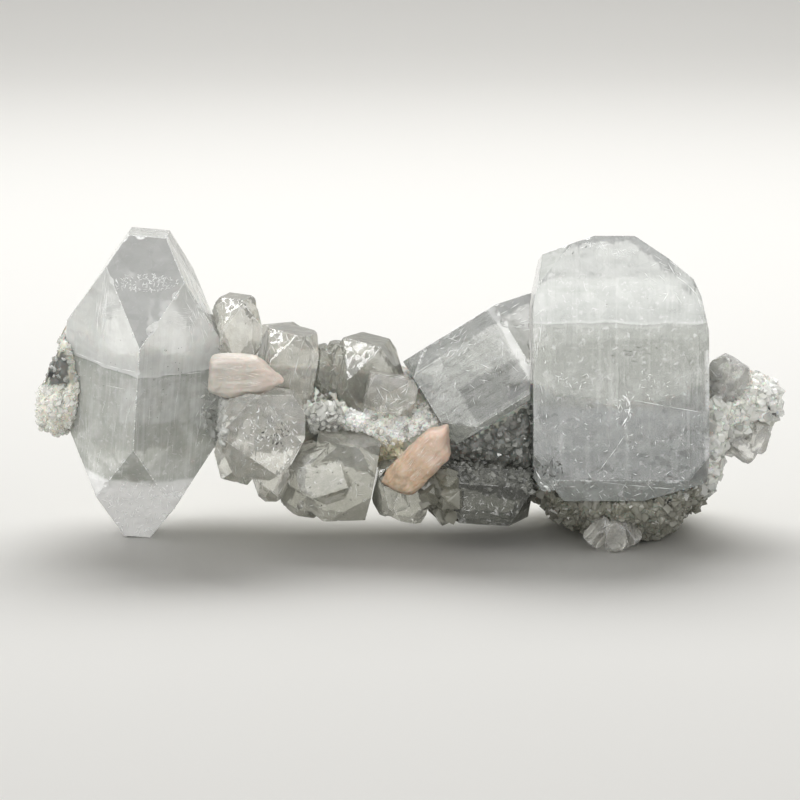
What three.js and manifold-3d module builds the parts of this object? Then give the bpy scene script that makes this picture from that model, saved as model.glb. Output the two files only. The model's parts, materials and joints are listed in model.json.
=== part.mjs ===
// Apophyllite specimen: clear tetragonal crystals and two stilbite blades grown on a chalcedony stalactite.
// Millimetres. +X runs along the stalactite to its broken right end, -Y is the display side, +Z is up.
// The specimen stands on Z = 0, on the foot of the stalactite and the tip of its double-pointed crystal.
import * as THREE from "three";
import { ConvexGeometry } from "three/addons/geometries/ConvexGeometry.js";
import { mergeVertices } from "three/addons/utils/BufferGeometryUtils.js";
import Module from "manifold-3d";

const wasm = await Module();
wasm.setup();

// ---- driving dimensions ----
const SEAT_GAP = 0.3; // clearance between one grown piece and the next
const PYRAMID_RISE = 30.5; // degrees from the horizontal to the normal of a pyramid face
const QUARTER_TURN = 90; // degrees between two prism faces
const PARALLEL = 1e-6; // determinant under which three faces share no corner
const SAME_POINT = 1e-4; // corners closer than this are one corner
const MAIN_BODY_SHARE = 0.5; // the least share of a carved piece that its largest body holds

// ---- the skin of the stalactite ----
const SPAN_STEPS = 3; // rings in each span between two sections
const RING_POINTS = 22; // points round one ring
const KNOB_HEIGHT = 0.35; // coarse botryoidal swelling
const KNOB_WAVE_A = { along: 1.9, around: 5 }; // first wave of swellings, per mm and per turn
const KNOB_WAVE_B = { along: 1.1, around: 3 }; // second wave, which breaks up the first
const GROUND = { length: 200, width: 100, depth: 20 }; // block that levels the underside

// ---- finishes, one for each mineral and habit ----
const finish = (color, roughness, opacity = 1) =>
  new THREE.MeshStandardMaterial({ color, roughness, metalness: 0, opacity, transparent: opacity < 1 });
const CLEAR = () => finish(0xd9dcd6, 0.12, 0.6);
const SMOKY = () => finish(0x9b9c94, 0.2, 0.7);
const PEACH = () => finish(0xe3c3a8, 0.4);
const CHALCEDONY = () => finish(0xb9b9ae, 0.55);

// Sections of the stalactite along X: the middle of each, and its reach up, down, to the front and back.
const SECTIONS = [
  { x: -50.2, y: 0.5, z: 17.4, up: 0.0, down: 0.0, front: 0.0, back: 0.0 },
  { x: -49.3, y: 0.5, z: 18.0, up: 3.2, down: 3.0, front: 3.6, back: 3.6 },
  { x: -48.0, y: 1.0, z: 19.0, up: 5.2, down: 4.8, front: 5.2, back: 5.6 },
  { x: -46.4, y: 2.0, z: 20.2, up: 8.3, down: 5.8, front: 6.0, back: 7.6 },
  { x: -42.0, y: 6.0, z: 18.8, up: 8.0, down: 7.2, front: 6.5, back: 8.0 },
  { x: -35.0, y: 8.5, z: 17.0, up: 7.0, down: 6.8, front: 6.5, back: 6.6 },
  { x: -26.0, y: 7.5, z: 17.0, up: 6.2, down: 6.2, front: 6.8, back: 6.2 },
  { x: -16.0, y: 6.0, z: 17.2, up: 5.6, down: 6.0, front: 6.6, back: 6.2 },
  { x: -6.0, y: 5.0, z: 16.6, up: 5.8, down: 7.8, front: 6.8, back: 6.4 },
  { x: 2.0, y: 4.0, z: 15.0, up: 6.4, down: 7.2, front: 7.4, back: 7.2 },
  { x: 9.0, y: 3.4, z: 13.4, up: 6.6, down: 6.8, front: 7.6, back: 8.0 },
  { x: 16.0, y: 4.0, z: 12.4, up: 8.0, down: 7.6, front: 9.4, back: 9.0 },
  { x: 22.0, y: 4.0, z: 10.6, up: 7.2, down: 9.8, front: 12.4, back: 11.0 },
  { x: 28.0, y: 3.6, z: 10.2, up: 6.4, down: 12.6, front: 13.2, back: 12.4 },
  { x: 34.0, y: 3.8, z: 10.6, up: 6.2, down: 11.6, front: 12.8, back: 12.0 },
  { x: 38.2, y: 4.2, z: 12.0, up: 6.6, down: 9.0, front: 11.8, back: 10.4 },
  { x: 40.9, y: 4.4, z: 14.0, up: 7.4, down: 8.6, front: 9.6, back: 8.2 },
  { x: 42.6, y: 4.8, z: 16.4, up: 5.8, down: 5.8, front: 6.8, back: 6.2 },
  { x: 45.0, y: 5.0, z: 16.8, up: 4.6, down: 4.8, front: 5.8, back: 5.2 },
  { x: 48.0, y: 4.4, z: 17.2, up: 3.7, down: 3.7, front: 4.6, back: 4.2 },
  { x: 49.5, y: 4.0, z: 17.6, up: 2.2, down: 2.2, front: 2.8, back: 2.6 },
  { x: 50.1, y: 4.0, z: 17.8, up: 0.0, down: 0.0, front: 0.0, back: 0.0 },
];

// The grown pieces, the ones that stand in front of others first, because each is carved by those before it.
// A crystal is given by its centre, its turns in degrees and the distances of its faces in mm. A list of four
// distances goes round the crystal. A cut is one more face: azimuth, elevation and distance.
const GROWTHS = [
  {
    // the largest crystal, face-on, its top worn to an arch, with a small one grown into its lower corner
    name: "block_crystal",
    finish: CLEAR,
    parts: [
      {
        at: [29.1, 1.5, 22.6], tilt: -16, turn: 0, prism: [10.4, 8.2, 12.9, 8.2],
        upper: [16.6, 17.8, 18.2, 16.8], lower: [17.6, 19.0, 18.6, 17.2], top: 17.7, bottom: 17.5,
        cuts: [
          [0, 56, 15.0], [0, 50, 14.5], [0, 25, 12.6], [0, 12, 11.2], [180, 71.5, 18.3], [180, 10.5, 14.2],
          [270, -35, 15.2], [90, 40, 14.5], [180, -42, 18.2], [0, -74, 17.3],
        ],
      },
      { at: [18.1, -9.0, 11.5], tilt: -16, prism: 1.25, upper: 2.0, lower: 2.0, top: 2.4, bottom: 2.5 },
    ],
  },
  {
    name: "double_pointed_crystal",
    finish: CLEAR,
    parts: [
      {
        at: [-36.1, 0, 21.5], lean: 5.1, prism: 7.7, upper: [12.6, 13.2, 13.0, 12.1],
        lower: [12.6, 11.9, 12.7, 12.9], top: 20.6, bottom: 21.35,
      },
    ],
  },
  {
    name: "stilbite_blade_right",
    finish: PEACH,
    parts: [
      {
        at: [0.9, -8.2, 12.8], tilt: 8, spin: -12, thick: 3.2, bevel: 0.7,
        outline: [
          [3.4, 4.6], [3.6, 1.2], [2.2, -0.4], [0.8, -2.4], [-0.8, -4.0], [-2.8, -3.9], [-4.2, -3.2],
          [-3.2, -1.8], [-1.6, 0.4], [0.4, 2.6], [2.0, 4.2],
        ],
      },
    ],
  },
  {
    name: "stilbite_blade_left",
    finish: PEACH,
    parts: [
      {
        at: [-22.4, -7.4, 24.4], tilt: 6, thick: 3.4, bevel: 0.7,
        outline: [[-3.5, 1.8], [-1.0, 2.2], [1.6, 1.8], [4.7, -0.8], [2.1, -1.9], [-2.1, -2.4], [-3.7, -1.8]],
      },
    ],
  },
  {
    // lies along the stalactite at about thirty degrees, its upper end behind the block
    name: "tilted_crystal",
    finish: CLEAR,
    parts: [
      {
        at: [8.6, 1.6, 22.6], lean: 58.5, tilt: -15, turn: 0, prism: [7.2, 6.0, 6.1, 6.0],
        upper: 15.5, lower: 9.6, top: 14.5, bottom: 7.6,
        cuts: [[180, 12, 7.4], [180, 31, 10.4], [270, 38, 8.8], [315, 0, 8.8], [0, 40, 12], [135, 0, 7.0]],
      },
    ],
  },
  {
    // pitted and blocky, with two small grey crystals grown into its underside
    name: "front_middle_crystals",
    finish: CLEAR,
    parts: [
      {
        at: [-20.2, -5.6, 15.8], lean: 4, tilt: -8, turn: 8, prism: [5.5, 5.2, 5.3, 5.4],
        upper: [7.2, 7.6, 7.0, 7.4], lower: [7.4, 7.2, 6.8, 7.2], top: 5.8, bottom: 5.7,
        cuts: [
          [300, 20, 6.4], [0, 38, 6.8], [0, -26, 5.4], [0, -52, 5.6], [180, -24, 5.1], [180, -56, 6.2],
          [180, 42, 7.0], [250, -38, 5.9],
        ],
      },
      { at: [-19.0, -4.6, 9.8], lean: -8, turn: 20, prism: 2.1, upper: 4, lower: 2.6, top: 4, bottom: 3.6 },
      { at: [-22.9, -3, 12.6], lean: 16, turn: 50, prism: 2.5, upper: 5, lower: 3.6, top: 4.4, bottom: 3.9 },
    ],
  },
  {
    name: "small_upper_crystal",
    finish: CLEAR,
    parts: [
      {
        at: [-23.8, 1.6, 28.0], lean: 3, turn: 25, prism: [2.8, 2.9, 3.0, 2.8],
        upper: 4.0, top: 5, bottom: 6,
      },
    ],
  },
  {
    name: "upper_middle_crystal",
    finish: CLEAR,
    parts: [
      {
        at: [-17.0, 2.2, 22.4], lean: 9, turn: 18, prism: [3.3, 3.2, 3.4, 3.2],
        upper: [5.4, 5.2, 5.0, 5.6], top: 5.9, bottom: 7,
      },
    ],
  },
  {
    name: "ridge_crystals",
    finish: SMOKY,
    parts: [
      {
        at: [-6.1, 3.6, 21.0], lean: 10, tilt: -2, turn: 22, prism: [4.2, 4.3, 4.5, 4.3],
        upper: [5.6, 5.4, 5.6, 5.3], top: 5.5, bottom: 6, cuts: [[350, 40, 4.9]],
      },
      { at: [-12.0, 2.2, 22.6], lean: -20, turn: 30, prism: 1.7, upper: 2.9, top: 3.2, bottom: 4 },
      { at: [-9.8, 2.8, 23.6], lean: 8, turn: 60, prism: 1.5, upper: 2.6, top: 2.6, bottom: 4 },
    ],
  },
  {
    // one crystal shows its six-sided end to the front, and the largest points down to the right
    name: "lower_middle_crystals",
    finish: SMOKY,
    parts: [
      {
        at: [-11.9, -4.2, 9.7], lean: -6, tilt: 72, turn: 62, prism: [3.4, 4.4, 3.4, 4.4],
        upper: [4.2, 4.4, 4.2, 4.3], top: 3.3, bottom: 5,
      },
      {
        at: [-9.2, -3.2, 9.6], lean: 11, tilt: 4, turn: 0, prism: [4.2, 3.8, 4.3, 3.6],
        upper: 5.6, lower: 7.0, top: 5.2, bottom: 6.0, cuts: [[180, -60, 6.0], [300, -30, 5.2]],
      },
      { at: [-14.2, -3.0, 6.9], lean: 24, turn: 40, prism: 2.0, upper: 3.6, top: 3.4, bottom: 2.9 },
    ],
  },
  {
    name: "lower_grey_crystal",
    finish: SMOKY,
    parts: [
      {
        at: [10.0, -2.6, 7.2], lean: 4, turn: 0, prism: [6.2, 4.8, 6.4, 5.0],
        upper: [7.4, 7.2, 7.0, 7.4], lower: [6.9, 6.8, 6.9, 7.0], top: 3.9, bottom: 3.6,
        cuts: [[270, 40, 5.1], [210, -20, 6.2], [330, -25, 6.4]],
      },
    ],
  },
  {
    name: "lower_centre_crystals",
    finish: SMOKY,
    parts: [
      { at: [-2.6, -4.0, 7.7], lean: -12, turn: 30, prism: 2.2, upper: 3.6, top: 3.4, bottom: 3.3 },
      { at: [0.0, -4.4, 7.2], lean: 16, turn: 10, prism: 2.3, upper: 3.8, top: 3.6, bottom: 3.6 },
    ],
  },
  {
    name: "centre_crystal",
    finish: CLEAR,
    parts: [
      {
        at: [-2.7, -3.0, 21.2], lean: 11, tilt: -8, turn: 4, prism: [3.3, 2.4, 3.2, 2.6],
        upper: 4.0, top: 1.9, bottom: 3.0,
      },
    ],
  },
  {
    name: "ridge_chip_crystal",
    finish: CLEAR,
    parts: [{ at: [-11.9, -2.2, 17.0], lean: 65, turn: 25, prism: 1.4, upper: 2.4, top: 2.2, bottom: 2.2 }],
  },
  {
    name: "right_upper_crystal",
    finish: CLEAR,
    parts: [
      {
        at: [42.6, 0.6, 21.6], lean: 30, turn: 35, prism: [2.1, 2.0, 2.2, 2.0],
        upper: 3.2, top: 3, bottom: 3.2,
      },
    ],
  },
  {
    name: "right_lower_crystals",
    finish: CLEAR,
    parts: [
      { at: [47.2, 0.2, 13.4], lean: 14, turn: 20, prism: 1.15, upper: 2.0, top: 2.2, bottom: 1.8 },
      { at: [45.0, -0.2, 12.1], lean: -52, turn: 40, prism: 1.0, upper: 1.9, top: 2.0, bottom: 2.0 },
    ],
  },
  {
    // hangs below the foot and just clears the ground
    name: "hanging_crystals",
    finish: CLEAR,
    parts: [
      { at: [25.3, -7.2, 2.45], lean: 40, turn: 30, prism: 1.1, upper: 2.0, top: 2.2, bottom: 1.9 },
      { at: [27.3, -7.4, 2.05], lean: -10, turn: 10, prism: 1.4, upper: 2.1, top: 2.2, bottom: 1.8 },
      { at: [29.2, -7.0, 2.45], lean: -34, turn: 55, prism: 1.0, upper: 1.8, top: 2.0, bottom: 1.7 },
    ],
  },
  {
    name: "back_crystals_left",
    finish: CLEAR,
    parts: [
      {
        at: [-18.0, 12.4, 18.6], lean: -8, tilt: -62, turn: 45, prism: [4.4, 4.6, 4.2, 4.5],
        upper: [7.0, 7.3, 7.2, 6.8], top: 7.6, bottom: 6,
      },
      { at: [-10.4, 11.6, 16.4], lean: 22, tilt: -48, turn: 20, prism: 3.4, upper: 5.4, top: 5.8, bottom: 6 },
    ],
  },
  {
    name: "back_crystals_right",
    finish: CLEAR,
    parts: [
      {
        at: [7.6, 9.6, 16.4], lean: 16, tilt: -50, turn: 10, prism: [4.8, 4.6, 4.7, 4.8],
        upper: [7.4, 7.6, 7.2, 7.6], top: 7.9, bottom: 7,
      },
      { at: [14.6, 11.0, 12.6], lean: 30, tilt: -72, turn: 45, prism: 3.6, upper: 5.8, top: 6.2, bottom: 6 },
    ],
  },
];

// ---- crystal faces and corners ----
const rad = THREE.MathUtils.degToRad;
const fourOf = (value) => (Array.isArray(value) ? value : [value, value, value, value]);

// One face: its outward normal by azimuth and elevation in degrees, and its distance in mm.
function face(azimuth, elevation, distance) {
  const level = Math.cos(rad(elevation));
  const normal = new THREE.Vector3(
    Math.cos(rad(azimuth)) * level,
    Math.sin(rad(azimuth)) * level,
    Math.sin(rad(elevation)),
  );
  return { normal, distance };
}

// The faces of one tetragonal crystal about its own centre, with its c axis along +Z. turn is the azimuth of
// the first prism face, and the pyramid faces sit half way between the prism faces.
function crystalFaces({ turn = 45, prism, upper, lower = upper, top, bottom = top, cuts = [] }) {
  const faces = [face(0, 90, top), face(0, -90, bottom)];
  const ring = (distances, start, elevation) =>
    fourOf(distances).forEach((d, k) => faces.push(face(start + QUARTER_TURN * k, elevation, d)));
  ring(prism, turn, 0);
  ring(upper, turn + QUARTER_TURN / 2, PYRAMID_RISE);
  ring(lower, turn + QUARTER_TURN / 2, -PYRAMID_RISE);
  cuts.forEach(([azimuth, elevation, d]) => faces.push(face(azimuth, elevation, d)));
  return faces;
}

// The point where three faces meet, each moved out by grow, or null where two of them are parallel.
function meeting(a, b, c, grow) {
  const bc = b.normal.clone().cross(c.normal);
  const det = a.normal.dot(bc);
  if (Math.abs(det) < PARALLEL) return null;
  const point = bc.multiplyScalar(a.distance + grow);
  point.addScaledVector(c.normal.clone().cross(a.normal), b.distance + grow);
  point.addScaledVector(a.normal.clone().cross(b.normal), c.distance + grow);
  return point.divideScalar(det);
}

// Every corner of the crystal: where three faces meet inside all the others.
function crystalCorners(faces, grow) {
  const found = [];
  const inside = (p) => faces.every((f) => f.normal.dot(p) <= f.distance + grow + PARALLEL);
  faces.forEach((a, i) =>
    faces.slice(i + 1).forEach((b, j) =>
      faces.slice(i + j + 2).forEach((c) => {
        const point = meeting(a, b, c, grow);
        if (point && inside(point) && found.every((q) => q.distanceTo(point) > SAME_POINT)) found.push(point);
      }),
    ),
  );
  return found;
}

// ---- solids ----
// A closed three.js geometry as a manifold-3d solid, moved by a matrix.
function solidFrom(geometry, matrix = new THREE.Matrix4()) {
  const loose = geometry.index ? geometry.toNonIndexed() : geometry;
  const bare = new THREE.BufferGeometry().setAttribute("position", loose.getAttribute("position").clone());
  const merged = mergeVertices(bare.applyMatrix4(matrix), SAME_POINT);
  return new wasm.Manifold(
    new wasm.Mesh({
      numProp: 3,
      vertProperties: new Float32Array(merged.attributes.position.array),
      triVerts: new Uint32Array(merged.index.array),
    }),
  );
}

// Where a piece sits: spun about its own axis, leaned to the right, then tilted to the front, all in degrees.
function placement({ at, lean = 0, tilt = 0, spin = 0 }) {
  const turn = new THREE.Euler(rad(tilt), rad(lean), rad(spin), "XYZ");
  return new THREE.Matrix4().makeRotationFromEuler(turn).setPosition(...at);
}

function crystalSolid(spec, grow) {
  return solidFrom(new ConvexGeometry(crystalCorners(crystalFaces(spec), grow)), placement(spec));
}

// A stilbite blade: the outline of its flat face in mm about its centre, in X and Z, with bevelled edges.
function bladeSolid(spec, grow) {
  const { outline, thick, bevel } = spec;
  const shape = new THREE.Shape(outline.map(([x, z]) => new THREE.Vector2(x, z)));
  const depth = thick - 2 * bevel;
  const plate = new THREE.ExtrudeGeometry(shape, {
    depth,
    bevelThickness: bevel + grow,
    bevelSize: bevel + grow,
    bevelSegments: 1,
    curveSegments: 1,
  });
  plate.translate(0, 0, -depth / 2);
  plate.rotateX(Math.PI / 2);
  return solidFrom(plate, placement(spec));
}

const grownSolid = (spec, grow) => (spec.outline ? bladeSolid(spec, grow) : crystalSolid(spec, grow));

function joined(specs, grow = 0) {
  return specs.map((spec) => grownSolid(spec, grow)).reduce((all, next) => all.add(next));
}

// The main body of a carved solid, without the slivers that carving can leave.
function mainBody(solid) {
  const bodies = solid.decompose().sort((a, b) => b.volume() - a.volume());
  if (bodies[0].volume() < MAIN_BODY_SHARE * solid.volume()) {
    throw new Error("a piece fell apart when it was carved");
  }
  return bodies[0];
}

// ---- the chalcedony stalactite ----
// One value of the skin between sections a and b: eased along the run, a quarter ellipse at the two ends.
function skinValue(a, b, t, key) {
  if (key === "x") return THREE.MathUtils.lerp(a.x, b.x, t);
  if (a.up === 0 && key !== "y" && key !== "z") return b[key] * Math.sqrt(1 - (1 - t) ** 2);
  if (b.up === 0 && key !== "y" && key !== "z") return a[key] * Math.sqrt(1 - t ** 2);
  return THREE.MathUtils.lerp(a[key], b[key], THREE.MathUtils.smoothstep(t, 0, 1));
}

// All the rings of the skin, from the left tip to the right tip.
function skinRings() {
  const rings = [];
  SECTIONS.slice(0, -1).forEach((a, s) => {
    const b = SECTIONS[s + 1];
    for (let step = 0; step < SPAN_STEPS; step++) {
      const keys = Object.keys(a);
      rings.push(Object.fromEntries(keys.map((key) => [key, skinValue(a, b, step / SPAN_STEPS, key)])));
    }
  });
  return [...rings, SECTIONS.at(-1)];
}

// The points of one ring; odd rings are turned by half a step, so that the skin is made of even triangles.
function ringPoints(ring, isOdd) {
  const points = [];
  for (let j = 0; j < RING_POINTS; j++) {
    const angle = (2 * Math.PI * (j + (isOdd ? 0.5 : 0))) / RING_POINTS;
    const waveA = Math.sin(KNOB_WAVE_A.along * ring.x + KNOB_WAVE_A.around * angle);
    const waveB = Math.cos(KNOB_WAVE_B.along * ring.x - KNOB_WAVE_B.around * angle);
    const knob = KNOB_HEIGHT * waveA * waveB;
    const wide = (Math.cos(angle) > 0 ? ring.back : ring.front) + knob;
    const tall = (Math.sin(angle) > 0 ? ring.up : ring.down) + knob;
    points.push(ring.x, ring.y + Math.cos(angle) * wide, ring.z + Math.sin(angle) * tall);
  }
  return points;
}

// The triangles between all the rings, with one pole at each end.
function skinTriangles(ringCount) {
  const index = [];
  const at = (i, j) => 1 + (i - 1) * RING_POINTS + (j % RING_POINTS);
  const rightPole = 1 + (ringCount - 2) * RING_POINTS;
  for (let j = 0; j < RING_POINTS; j++) {
    index.push(0, at(1, j + 1), at(1, j));
    index.push(rightPole, at(ringCount - 2, j), at(ringCount - 2, j + 1));
  }
  for (let i = 1; i < ringCount - 2; i++) {
    for (let j = 0; j < RING_POINTS; j++) {
      const shift = i % 2;
      const [a, b] = [at(i, j), at(i, j + 1)];
      const [c, d] = [at(i + 1, j + shift), at(i + 1, j + 1 + shift)];
      index.push(...(shift ? [a, b, c, b, d, c] : [a, d, c, a, b, d]));
    }
  }
  return index;
}

function stalactiteSolid() {
  const rings = skinRings();
  const tip = (ring) => [ring.x, ring.y, ring.z];
  const points = [...tip(rings[0])];
  rings.slice(1, -1).forEach((ring, k) => points.push(...ringPoints(ring, k % 2 === 0)));
  points.push(...tip(rings.at(-1)));
  const skin = new THREE.BufferGeometry();
  skin.setAttribute("position", new THREE.Float32BufferAttribute(points, 3));
  skin.setIndex(skinTriangles(rings.length));
  const ground = new THREE.BoxGeometry(GROUND.length, GROUND.width, GROUND.depth);
  ground.translate(0, 0, -GROUND.depth / 2);
  return solidFrom(skin).subtract(solidFrom(ground));
}

// ---- assembly ----
// A named mesh for a solid, placed by its own matrix.
function meshOf(name, solid, matrix, material) {
  const { numProp, numVert, vertProperties, triVerts } = solid.getMesh();
  const points = new Float32Array(numVert * 3);
  for (let i = 0; i < numVert; i++) {
    points.set(vertProperties.subarray(i * numProp, i * numProp + 3), i * 3);
  }
  const geometry = new THREE.BufferGeometry();
  geometry.setAttribute("position", new THREE.BufferAttribute(points, 3));
  geometry.setIndex(new THREE.BufferAttribute(triVerts, 1));
  geometry.applyMatrix4(matrix.clone().invert());
  const mesh = new THREE.Mesh(geometry, material);
  mesh.name = name;
  mesh.applyMatrix4(matrix);
  return mesh;
}

function buildSpecimen() {
  const specimen = new THREE.Group();
  specimen.name = "apophyllite_specimen";
  const seats = [];
  const carve = (solid) => mainBody(seats.reduce((rest, seat) => rest.subtract(seat), solid));

  for (const growth of GROWTHS) {
    const solid = carve(joined(growth.parts));
    specimen.add(meshOf(growth.name, solid, placement(growth.parts[0]), growth.finish()));
    seats.push(joined(growth.parts, SEAT_GAP));
  }
  const stalactite = carve(stalactiteSolid());
  specimen.add(meshOf("chalcedony_stalactite", stalactite, new THREE.Matrix4(), CHALCEDONY()));

  // the origin goes under the middle of the whole specimen, on the ground
  const box = new THREE.Box3().setFromObject(specimen, true);
  const middle = box.getCenter(new THREE.Vector3());
  specimen.position.set(-middle.x, -middle.y, -box.min.z);
  return specimen;
}

export default buildSpecimen();
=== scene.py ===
"""Apophyllite specimen: clear tetragonal crystals and two stilbite blades on a chalcedony stalactite."""
import json
import math
import random

import bmesh
import bpy
import numpy as np
from mathutils import Matrix, Vector, kdtree, noise
from mathutils.bvhtree import BVHTree

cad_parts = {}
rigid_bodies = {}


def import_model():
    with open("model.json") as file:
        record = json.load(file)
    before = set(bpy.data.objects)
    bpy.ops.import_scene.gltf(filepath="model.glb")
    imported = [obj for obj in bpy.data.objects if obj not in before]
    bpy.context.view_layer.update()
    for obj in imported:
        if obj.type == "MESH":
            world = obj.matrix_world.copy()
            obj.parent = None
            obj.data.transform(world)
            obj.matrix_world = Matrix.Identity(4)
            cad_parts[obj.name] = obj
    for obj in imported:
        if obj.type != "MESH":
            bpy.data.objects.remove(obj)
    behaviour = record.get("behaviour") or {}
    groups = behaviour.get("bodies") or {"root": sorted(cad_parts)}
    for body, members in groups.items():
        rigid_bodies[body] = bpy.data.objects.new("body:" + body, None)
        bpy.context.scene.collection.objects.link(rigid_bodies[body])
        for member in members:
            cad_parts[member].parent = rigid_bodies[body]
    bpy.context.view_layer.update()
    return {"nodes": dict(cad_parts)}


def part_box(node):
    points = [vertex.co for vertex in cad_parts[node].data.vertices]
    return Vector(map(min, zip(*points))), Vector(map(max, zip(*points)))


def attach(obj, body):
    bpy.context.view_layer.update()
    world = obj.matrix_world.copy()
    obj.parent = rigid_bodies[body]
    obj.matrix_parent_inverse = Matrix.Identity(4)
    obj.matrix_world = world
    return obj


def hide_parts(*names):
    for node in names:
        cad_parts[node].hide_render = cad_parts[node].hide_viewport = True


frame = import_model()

MM = 0.001  # one millimetre in scene units

# ---- where the specimen is looked at from: the display side ----
AIM = Vector((-1.44, -4.63, 18.9)) * MM  # the point looked at
EYE_DISTANCE = 350 * MM
EYE_RISE = math.radians(15)
VIEW = Vector((0, math.cos(EYE_RISE), -math.sin(EYE_RISE)))  # from the eye to the aim
RIGHT = Vector((1, 0, 0))
UP = Vector((0, math.sin(EYE_RISE), math.cos(EYE_RISE)))
EYE = AIM - VIEW * EYE_DISTANCE
LENS = 116.2  # mm, on a 36 mm sensor

# ---- optical values of the minerals ----
APOPHYLLITE_IOR = 1.535
STILBITE_IOR = 1.50
CHALCEDONY_IOR = 1.54
MARK_IOR = 1.45  # slivers, which stand for cracks, hollows and painted glints
CLARITY = 0.71  # share of the light that a fine clear face lets in; the rest is milky

CLEAR, GREY = "clear_apophyllite", "grey_apophyllite"  # slots of the two kinds of crystal

# ---- sizes of surface detail, mm ----
EDGE_WEAR = 0.07  # width of the rounding on a crystal edge
WORN_EDGE = 12  # edges that stand out by more degrees than this are rounded
CHIPPED_EDGE = 20  # and by more than this are chipped
FACET_STEP = 0.75  # longest mesh edge on a finished crystal face
FACET_WAVE = 0.03  # height of the slow waves on a natural face
CHIP_MESH = 0.17  # longest mesh edge inside a chip
CHIP_MESH_SHARE = 0.14  # the same as a share of the chip's radius, where that is more
CHIP_RIM = 0.1  # how far round a chip the mesh is fine
CHIP_DEPTH = (0.10, 0.28)  # least and greatest depth of a chip, as shares of its radius
PRISM_SLOPE = 0.25  # a prism face leans less than this along the c axis
SAME_FACET = 0.985  # cosine of the angle within which faces count as one facet
SHARP_FOLD = math.radians(22)  # crystal faces that meet at more than this keep a crisp edge
KNOB_SPACING = 1.35  # distance between botryoidal knobs
KNOB_TRIES = 2.2  # places tried for a knob on each square of that side
KNOB_LEAST_GAP = 0.72  # least distance between two knobs, as a share of it
KNOB_RISE = 0.75  # how far a knob stands proud
KNOB_SINK = 0.22  # how far the ground between the knobs lies back
SEAT_REACH = 1.2  # the knobs are lower this near to a crystal
PAINTED_LIGHT_REACH = 0.9  # and the skin is painted lighter this near: painted light
FOOT_HEIGHT = 0.8  # the knobs are flatter below this height
ZONE_WAVER = 0.65  # how far a colour zone's boundary wavers to each side
BLADE_ROUNDING = 0.42  # width of the rounding on a blade's edge
BLADE_STEP = 0.25  # longest mesh edge on a blade
BLADE_FOLD = math.radians(40)  # blade faces that meet at more than this keep a crisp edge
SLIVER_DEPTH = 0.05  # thickness of a crack or speck
PATCH_FACING = 0.05  # cosine with the line of sight above which a face counts as seen
SKIN_VOXEL = 0.34  # cell of the remeshed stalactite
LONGEST_LINE = 12  # a drawn line doesn't jump further than this from one skin to the next

# ---- how each crystal stands: degrees of lean to the right and of tilt to the front, as built ----
STANCE = {
    "block_crystal": (0.0, -16.0),
    "double_pointed_crystal": (5.1, 0.0),
    "tilted_crystal": (58.5, -15.0),
    "upper_middle_crystal": (9.0, 0.0),
    "front_middle_crystals": (4.0, -8.0),
    "lower_middle_crystals": (11.0, 4.0),
    "ridge_crystals": (10.0, -2.0),
    "centre_crystal": (11.0, -8.0),
    "lower_grey_crystal": (4.0, 0.0),
    "small_upper_crystal": (3.0, 0.0),
    "right_upper_crystal": (30.0, 0.0),
}

specimen = bpy.data.collections.new("specimen")
bpy.context.scene.collection.children.link(specimen)


# ------------------------------------------------------------------ colour and node helpers
def srgb(code):
    """A linear RGBA colour from an sRGB hex code such as 'c8ccc6'."""
    parts = [int(code[i : i + 2], 16) / 255 for i in (0, 2, 4)]
    return tuple(c / 12.92 if c <= 0.04045 else ((c + 0.055) / 1.055) ** 2.4 for c in parts) + (1.0,)


def add_node(tree, kind, inputs=None, **settings):
    """A new node with its settings; inputs maps a socket to a value, an output, or a node as a whole."""
    node = tree.nodes.new(kind)
    for key, value in settings.items():
        setattr(node, key, value)
    for key, value in (inputs or {}).items():
        if isinstance(value, bpy.types.Node):
            value = next(output for output in value.outputs if output.enabled)
        if isinstance(value, bpy.types.NodeSocket):
            tree.links.new(value, node.inputs[key])
        else:
            node.inputs[key].default_value = value
    return node


def new_material(name):
    material = bpy.data.materials.new(name)
    material.use_nodes = True
    material.node_tree.nodes.clear()
    return material, material.node_tree


def set_ramp(ramp, stops):
    """Colour stops as (position, hex) pairs."""
    while len(ramp.elements) > 1:
        ramp.elements.remove(ramp.elements[-1])
    ramp.elements[0].position = stops[0][0]
    ramp.elements[0].color = srgb(stops[0][1])
    for position, code in stops[1:]:
        ramp.elements.new(position).color = srgb(code)


def close_material(tree, **ends):
    add_node(tree, "ShaderNodeOutputMaterial", ends)


# ------------------------------------------------------------------ materials
# A pattern on a crystal or blade reads its own coordinates in mm, so a scale of 0.5 gives features of 2 mm;
# one on the druse, the slivers or the stalactite reads metres, so a scale of 500 gives features of 2 mm.
MIX = {"data_type": "RGBA"}
MULTIPLY = {"data_type": "RGBA", "blend_type": "MULTIPLY"}

# Tones laid over the chalcedony one after the other, by the attribute that places them; the hollow tone is
# painted shade between the knobs.
CHALCEDONY_LAYERS = [
    # painted light: the pale e4e5e0 tone lightens the skin beside the crystals
    ("hollow", "7b7b71"), ("crust", "e4e5e0"), ("sugar", "f6f5ee"), ("beige", "dedacd"),
    ("base", "8b8b80"), ("shade", "3f403d"), ("olive", "f0e6c8"), ("manganese", "0b0b0b"),
]


def layered(tree, ground, layers):
    """Lays tones over a ground tone: each has a texture, its range, a strength, a colour and a blending."""
    for texture, low, high, strength, code, blending in layers:
        share = add_node(tree, "ShaderNodeMapRange", {0: texture, 1: low, 2: high, 4: strength})
        ground = add_node(tree, "ShaderNodeMix", {0: share, 6: ground, 7: srgb(code)}, **blending)
    return ground


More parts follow.
